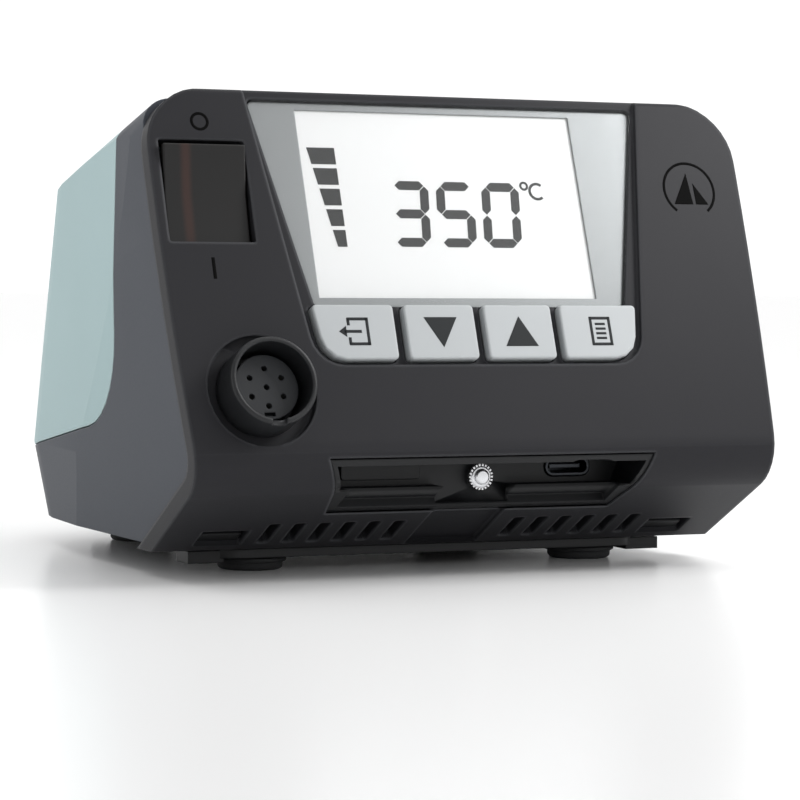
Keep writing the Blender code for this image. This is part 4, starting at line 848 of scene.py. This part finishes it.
teeth_sizes = {
    "Count": 22,
    "Radius": 0.9 * stud_radius,
    "Width": 0.42 * MM,
    "Depth": 0.5 * MM,
    "Length": 1.3 * MM,
}
TEETH_DEPTH = 1.6 * MM  # from the stud's face to the middle of its teeth
teeth_place = stud_place @ Matrix.Translation((0, 0, -TEETH_DEPTH))
teeth = grown("bonding_stud_teeth", ring_tree("stud_teeth", stud_steel), teeth_sizes, teeth_place)
dress(teeth, stud_steel, ROOT)
print("stud teeth:", teeth_sizes["Count"])

# %% [markdown]
# ## Tool socket
#
# A round collar holds a keyed insert with seven contacts. The collar and the insert are packed
# pieces, made smooth here. Each hole has a plated contact at its bottom, six of them on a
# circle, which the ring tree makes, and one in the middle.

# %% Tool socket
refined("socket_shell", socket_pa, 0.25 * MM, 2, 40)
refined("socket_insert", insert_pps)
insert_low, insert_high = local_box("socket_insert")
socket_u = (insert_low.x + insert_high.x) / 2
socket_v = (insert_low.y + insert_high.y) / 2
CONTACT_DEPTH = 3.2 * MM  # below the insert's face
contact_place = FACE @ Matrix.Translation((socket_u, socket_v, insert_high.z - CONTACT_DEPTH))
contact_turn = Matrix.Rotation(math.pi / 6, 4, "Z")
sleeve_sizes = {"Count": 6, "Radius": 3.96 * MM, "Width": 0.5 * MM, "Depth": 0, "Length": 1.0 * MM}
sleeve_tree = ring_tree("contact_sleeves", blade_brass, pins=True)
sleeves = grown("socket_contacts", sleeve_tree, sleeve_sizes, contact_place @ contact_turn)
dress(sleeves, blade_brass, ROOT)
centre_profile = [
    (0, -0.5 * MM),
    (0.5 * MM, -0.5 * MM),
    (0.5 * MM, 0.3 * MM),
    (0.3 * MM, 0.5 * MM),
    (0, 0.5 * MM),
]
centre = spun("socket_centre_contact", centre_profile, contact_place, 16)
dress(centre, blade_brass, ROOT)
print("contacts:", sleeve_sizes["Count"] + 1)

# %% [markdown]
# ## Keys and their icons
#
# The keys are moulded and painted silver, with a soft edge all round and a pad-printed icon.
# Each icon is a few strokes in its key's own middle, and rides on the key.

# %% Keys
KEY_MIDDLE = 26.3 * MM  # up the face
LINE = 0.62  # mm, the icons' lines
key_icons = {}
for key in ("key_exit", "key_down", "key_up", "key_menu"):
    refined(key, key_abs, 0.45 * MM, 3, 40)
    low, high = local_box(key)
    key_icons[key] = ((low.x + high.x) / 2, KEY_MIDDLE, high.z)


def add_icon(key, loops):
    """Prints an icon on a key. Loops are in millimetres from the key's middle."""
    u, v, face = key_icons[key]
    placed = [[(u + x * MM, v + y * MM) for x, y in loop] for loop in loops]
    name = key + "_icon"
    return printed(name, placed, face - 0.1 * MM, face + 0.05 * MM, mark_dark, key)


exit_loops = [
    stroke((-1.8, 2.7), (2.9, 2.7), LINE),
    stroke((2.6, 2.9), (2.6, -2.9), LINE),
    stroke((2.9, -2.7), (-1.8, -2.7), LINE),
    stroke((-1.6, 2.9), (-1.6, 1.3), LINE),
    stroke((-1.6, -1.3), (-1.6, -2.9), LINE),
    stroke((-2.6, 0), (1.2, 0), LINE),
    [(-3.9, 0), (-2.2, -1.2), (-2.2, 1.2)],
]
menu_loops = [
    stroke((-2.2, 2.9), (2.2, 2.9), LINE),
    stroke((-2.2, -2.9), (2.2, -2.9), LINE),
    stroke((-2.2, 3.2), (-2.2, -3.2), LINE),
    stroke((2.2, 3.2), (2.2, -3.2), LINE),
    *(stroke((-1.2, y), (1.2, y), 0.5) for y in (1.6, 0.55, -0.5, -1.55)),
]
add_icon("key_exit", exit_loops)
add_icon("key_down", [[(-3.8, 3.1), (0, -3.5), (3.8, 3.1)]])
add_icon("key_up", [[(-3.8, -3.3), (3.8, -3.3), (0, 3.3)]])
add_icon("key_menu", menu_loops)
print("icons:", len(key_icons))

# %% [markdown]
# ## Rocker and panel marks
#
# Off and on are a ring and a bar beside the rocker. The round mark on the right says that
# the unit is safe for static-sensitive work. Here it is a plain open arc over two triangles,
# with no words and no owner's sign in it.

# %% Rocker and marks
refined("power_rocker", rocker_pa, 0.35 * MM, 3, 40)
PRINT_LOW, PRINT_HIGH = -0.1 * MM, 0.04 * MM
ring_mark = arc_loops((-56.8 * MM, 72.3 * MM), 1.75 * MM, 0.6 * MM, 0, math.tau, 28)
bar_mark = [box_loop(-57.95 * MM, -57.25 * MM, 37.9 * MM, 42.5 * MM)]
printed("mark_off", ring_mark, PRINT_LOW, PRINT_HIGH, mark_black, ROOT)
printed("mark_on", bar_mark, PRINT_LOW, PRINT_HIGH, mark_black, ROOT)
safe_u, safe_v = 56.2 * MM, 59.3 * MM
arc = arc_loops((safe_u, safe_v), 6.2 * MM, 0.6 * MM, math.radians(-52), math.radians(232), 40)
corners = (
    ((-4.2, -3.4), (0.5, -3.4), (-0.2, 3.9)),
    ((1.2, -3.4), (4.3, -3.4), (1.1, 1.6)),
)  # mm from the mark's middle
triangles = [[(safe_u + x * MM, safe_v + y * MM) for x, y in corner] for corner in corners]
printed("mark_static_safe", arc + triangles, PRINT_LOW, PRINT_HIGH, mark_black, ROOT)
print("marks: 3")

# %% [markdown]
# ## Screws
#
# Six screws with a six-lobed recess hold the case and the connector housing. One of them is
# turned on the lathe helper, whose radius may change with the angle, and a small tree puts a
# copy on every point that it is given, so four places under the base need no more work than
# one.

# %% Screw helpers


SHANK_RADIUS = 1.5 * MM


def lobed_screw(name, head_radius, length, turn):
    """A screw with its head's face at the origin, looking along its own Z before it is turned."""

    def lobes(angle):
        return head_radius * (0.44 + 0.09 * math.cos(6 * angle))

    profile = [
        (0, -0.9 * MM),
        (lobes, -0.8 * MM),
        (lobes, -0.06 * MM),
        (0.6 * head_radius, 0),
        (0.85 * head_radius, -0.06 * MM),
        (head_radius, -0.3 * MM),
        (head_radius, -1.1 * MM),
        (SHANK_RADIUS, -1.1 * MM),
        (SHANK_RADIUS, 0.7 * MM - length),
        (0.4 * SHANK_RADIUS, -length),
        (0, -length),
    ]
    return spun(name, profile, turn, 36)


def placed_screws(name, points, screw, nodes):
    """Puts a copy of a screw on every point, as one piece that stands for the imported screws."""
    tree, _, result = new_tree(name + "_tree", ())
    tree.interface.new_socket("Places", in_out="INPUT", socket_type="NodeSocketGeometry")
    places = tree.nodes["Group Input"].outputs["Places"]
    one = add(tree, "GeometryNodeObjectInfo", Object=screw).outputs["Geometry"]
    copies = add(tree, "GeometryNodeInstanceOnPoints", {"Points": places, "Instance": one})
    close_tree(tree, result, copies.outputs[0], screw_steel)
    mesh = bpy.data.meshes.new(name)
    mesh.from_pydata([tuple(p) for p in points], [], [])
    work = bpy.data.objects.new("work", mesh)
    bpy.context.scene.collection.objects.link(work)
    work.modifiers.new("nodes", "NODES").node_group = tree
    piece = plain_copy(work, name, 28)
    bpy.data.objects.remove(work)
    bpy.data.objects.remove(screw)
    dress(piece, screw_steel, ROOT)
    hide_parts(*nodes)
    print(name, len(points), "screws,", len(piece.data.polygons), "faces")


# %% Case screws and rear screws
case_names = [f"case_screw_{k}" for k in (1, 2, 3, 4)]
case_boxes = [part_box(name) for name in case_names]
case_places = [((a.x + b.x) / 2, (a.y + b.y) / 2, a.z) for a, b in case_boxes]
case_low, case_high = case_boxes[0]
case_radius = (case_high.x - case_low.x) / 2
facing_down = Matrix.Rotation(math.pi, 4, "X")
case_screw = lobed_screw("one_case_screw", case_radius, case_high.z - case_low.z, facing_down)
placed_screws("case_screws", case_places, case_screw, case_names)

REAR_ORIGIN = (0, 66.2 * MM, 23 * MM)  # on the case's rear corner
drawer = next(joint for joint in frame["joints"] if joint["child"] == "fuse_drawer")
outward = Vector(drawer["axis"]).normalized()
REAR = place_frame(REAR_ORIGIN, (0, -outward.z, outward.y), (-1, 0, 0))
rear_names = ["rear_screw_left", "rear_screw_right"]
rear_boxes = [local_box(name, REAR) for name in rear_names]
rear_places = [REAR @ Vector(((a.x + b.x) / 2, (a.y + b.y) / 2, b.z)) for a, b in rear_boxes]
REAR_HEAD_RADIUS = 2.8 * MM
rear_length = rear_boxes[0][1].z - rear_boxes[0][0].z
rear_turn = REAR.to_3x3().to_4x4()
rear_screw = lobed_screw("one_rear_screw", REAR_HEAD_RADIUS, rear_length, rear_turn)
placed_screws("rear_screws", rear_places, rear_screw, rear_names)

# %% [markdown]
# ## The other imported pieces
#
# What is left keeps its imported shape. Pieces that show get their edges rounded, and pieces
# inside only need their finish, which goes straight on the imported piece.

# %% Remaining pieces
shown = {
    "display_window": (window_clear, "window_clear", 0.15 * MM),
    "display_bezel": (bezel_print, "bezel_print", 0),
    "data_port": (port_nickel, "bright_steel", 0),
    "port_blank": (black_abs, "black_plastic", 0.2 * MM),
    "latch_tab_left": (black_abs, "black_plastic", 0.2 * MM),
    "latch_tab_right": (black_abs, "black_plastic", 0.2 * MM),
    "mains_inlet": (black_abs, "black_plastic", 0.3 * MM),
    "fuse_drawer": (black_abs, "black_plastic", 0.25 * MM),
    "bonding_socket": (bond_brass, "contact_brass", 0.2 * MM),
    "foot_front_left": (foot_rubber, "rubber_foot", 0.3 * MM),
    "foot_front_right": (foot_rubber, "rubber_foot", 0.3 * MM),
    "foot_rear_left": (foot_rubber, "rubber_foot", 0.3 * MM),
    "foot_rear_right": (foot_rubber, "rubber_foot", 0.3 * MM),
}
for node, (material, slot_name, bevel) in shown.items():
    refined(node, material, bevel)

inside = {
    "lcd_glass": lcd_white,
    "lcd_backlight": diffuser,
    "display_board": board_mask,
    "main_board": board_mask,
    "socket_board": board_mask,
    "transformer_core": core_steel,
    "transformer_winding": coil_copper,
    "transformer_bracket": screw_steel,
    "capacitor_1": sleeve_pvc,
    "capacitor_2": sleeve_pvc,
    "heatsink": sink_aluminium,
    "terminal_block": terminal_pa,
    "relay": black_abs,
    "triac": black_abs,
    "power_switch_body": black_abs,
    "socket_nut": screw_steel,
    "fuse": window_clear,
}
for node in frame["nodes"].values():
    if node.hide_render:
        continue
    name = node.name
    if name.startswith("inlet_blade"):
        finish = blade_brass
    elif name.startswith("tact"):
        finish = black_abs
    else:
        finish = inside[name]
    node.data.materials.clear()
    node.data.materials.append(finish)
print(len(shown), "refined,", len(inside), "given their finish")

# %% [markdown]
# ## The floor
#
# A white, slightly glossy sheet that runs far past the view, so that its edge never shows. A
# faint reflection under the unit and the soft contact shadow make it stand on something.

# %% Floor
FLOOR_HALF = 4  # metres each way from the unit
floor_sheet, tree, shader = new_material("floor_white_sheet")
place = add(tree, "ShaderNodeTexCoord").outputs["Object"]
grain = add(tree, "ShaderNodeTexNoise", {"Vector": place}, Scale=1 / (2 * MM))
floor_bump = add(tree, "ShaderNodeBump", {"Height": grain.outputs["Fac"]}, Distance=0.01 * MM)
tree.links.new(floor_bump.outputs["Normal"], shader.inputs["Normal"])
shader.inputs["Base Color"].default_value = linear("fbfbfb")
shader.inputs["Roughness"].default_value = 0.28
bm = bmesh.new()
bmesh.ops.create_grid(bm, x_segments=1, y_segments=1, size=FLOOR_HALF)
floor_mesh = bpy.data.meshes.new("floor")
bm.to_mesh(floor_mesh)
bm.free()
floor_mesh.materials.append(floor_sheet)
floor = bpy.data.objects.new("floor", floor_mesh)
bpy.context.scene.collection.objects.link(floor)
print("floor:", 2 * FLOOR_HALF, "m square")
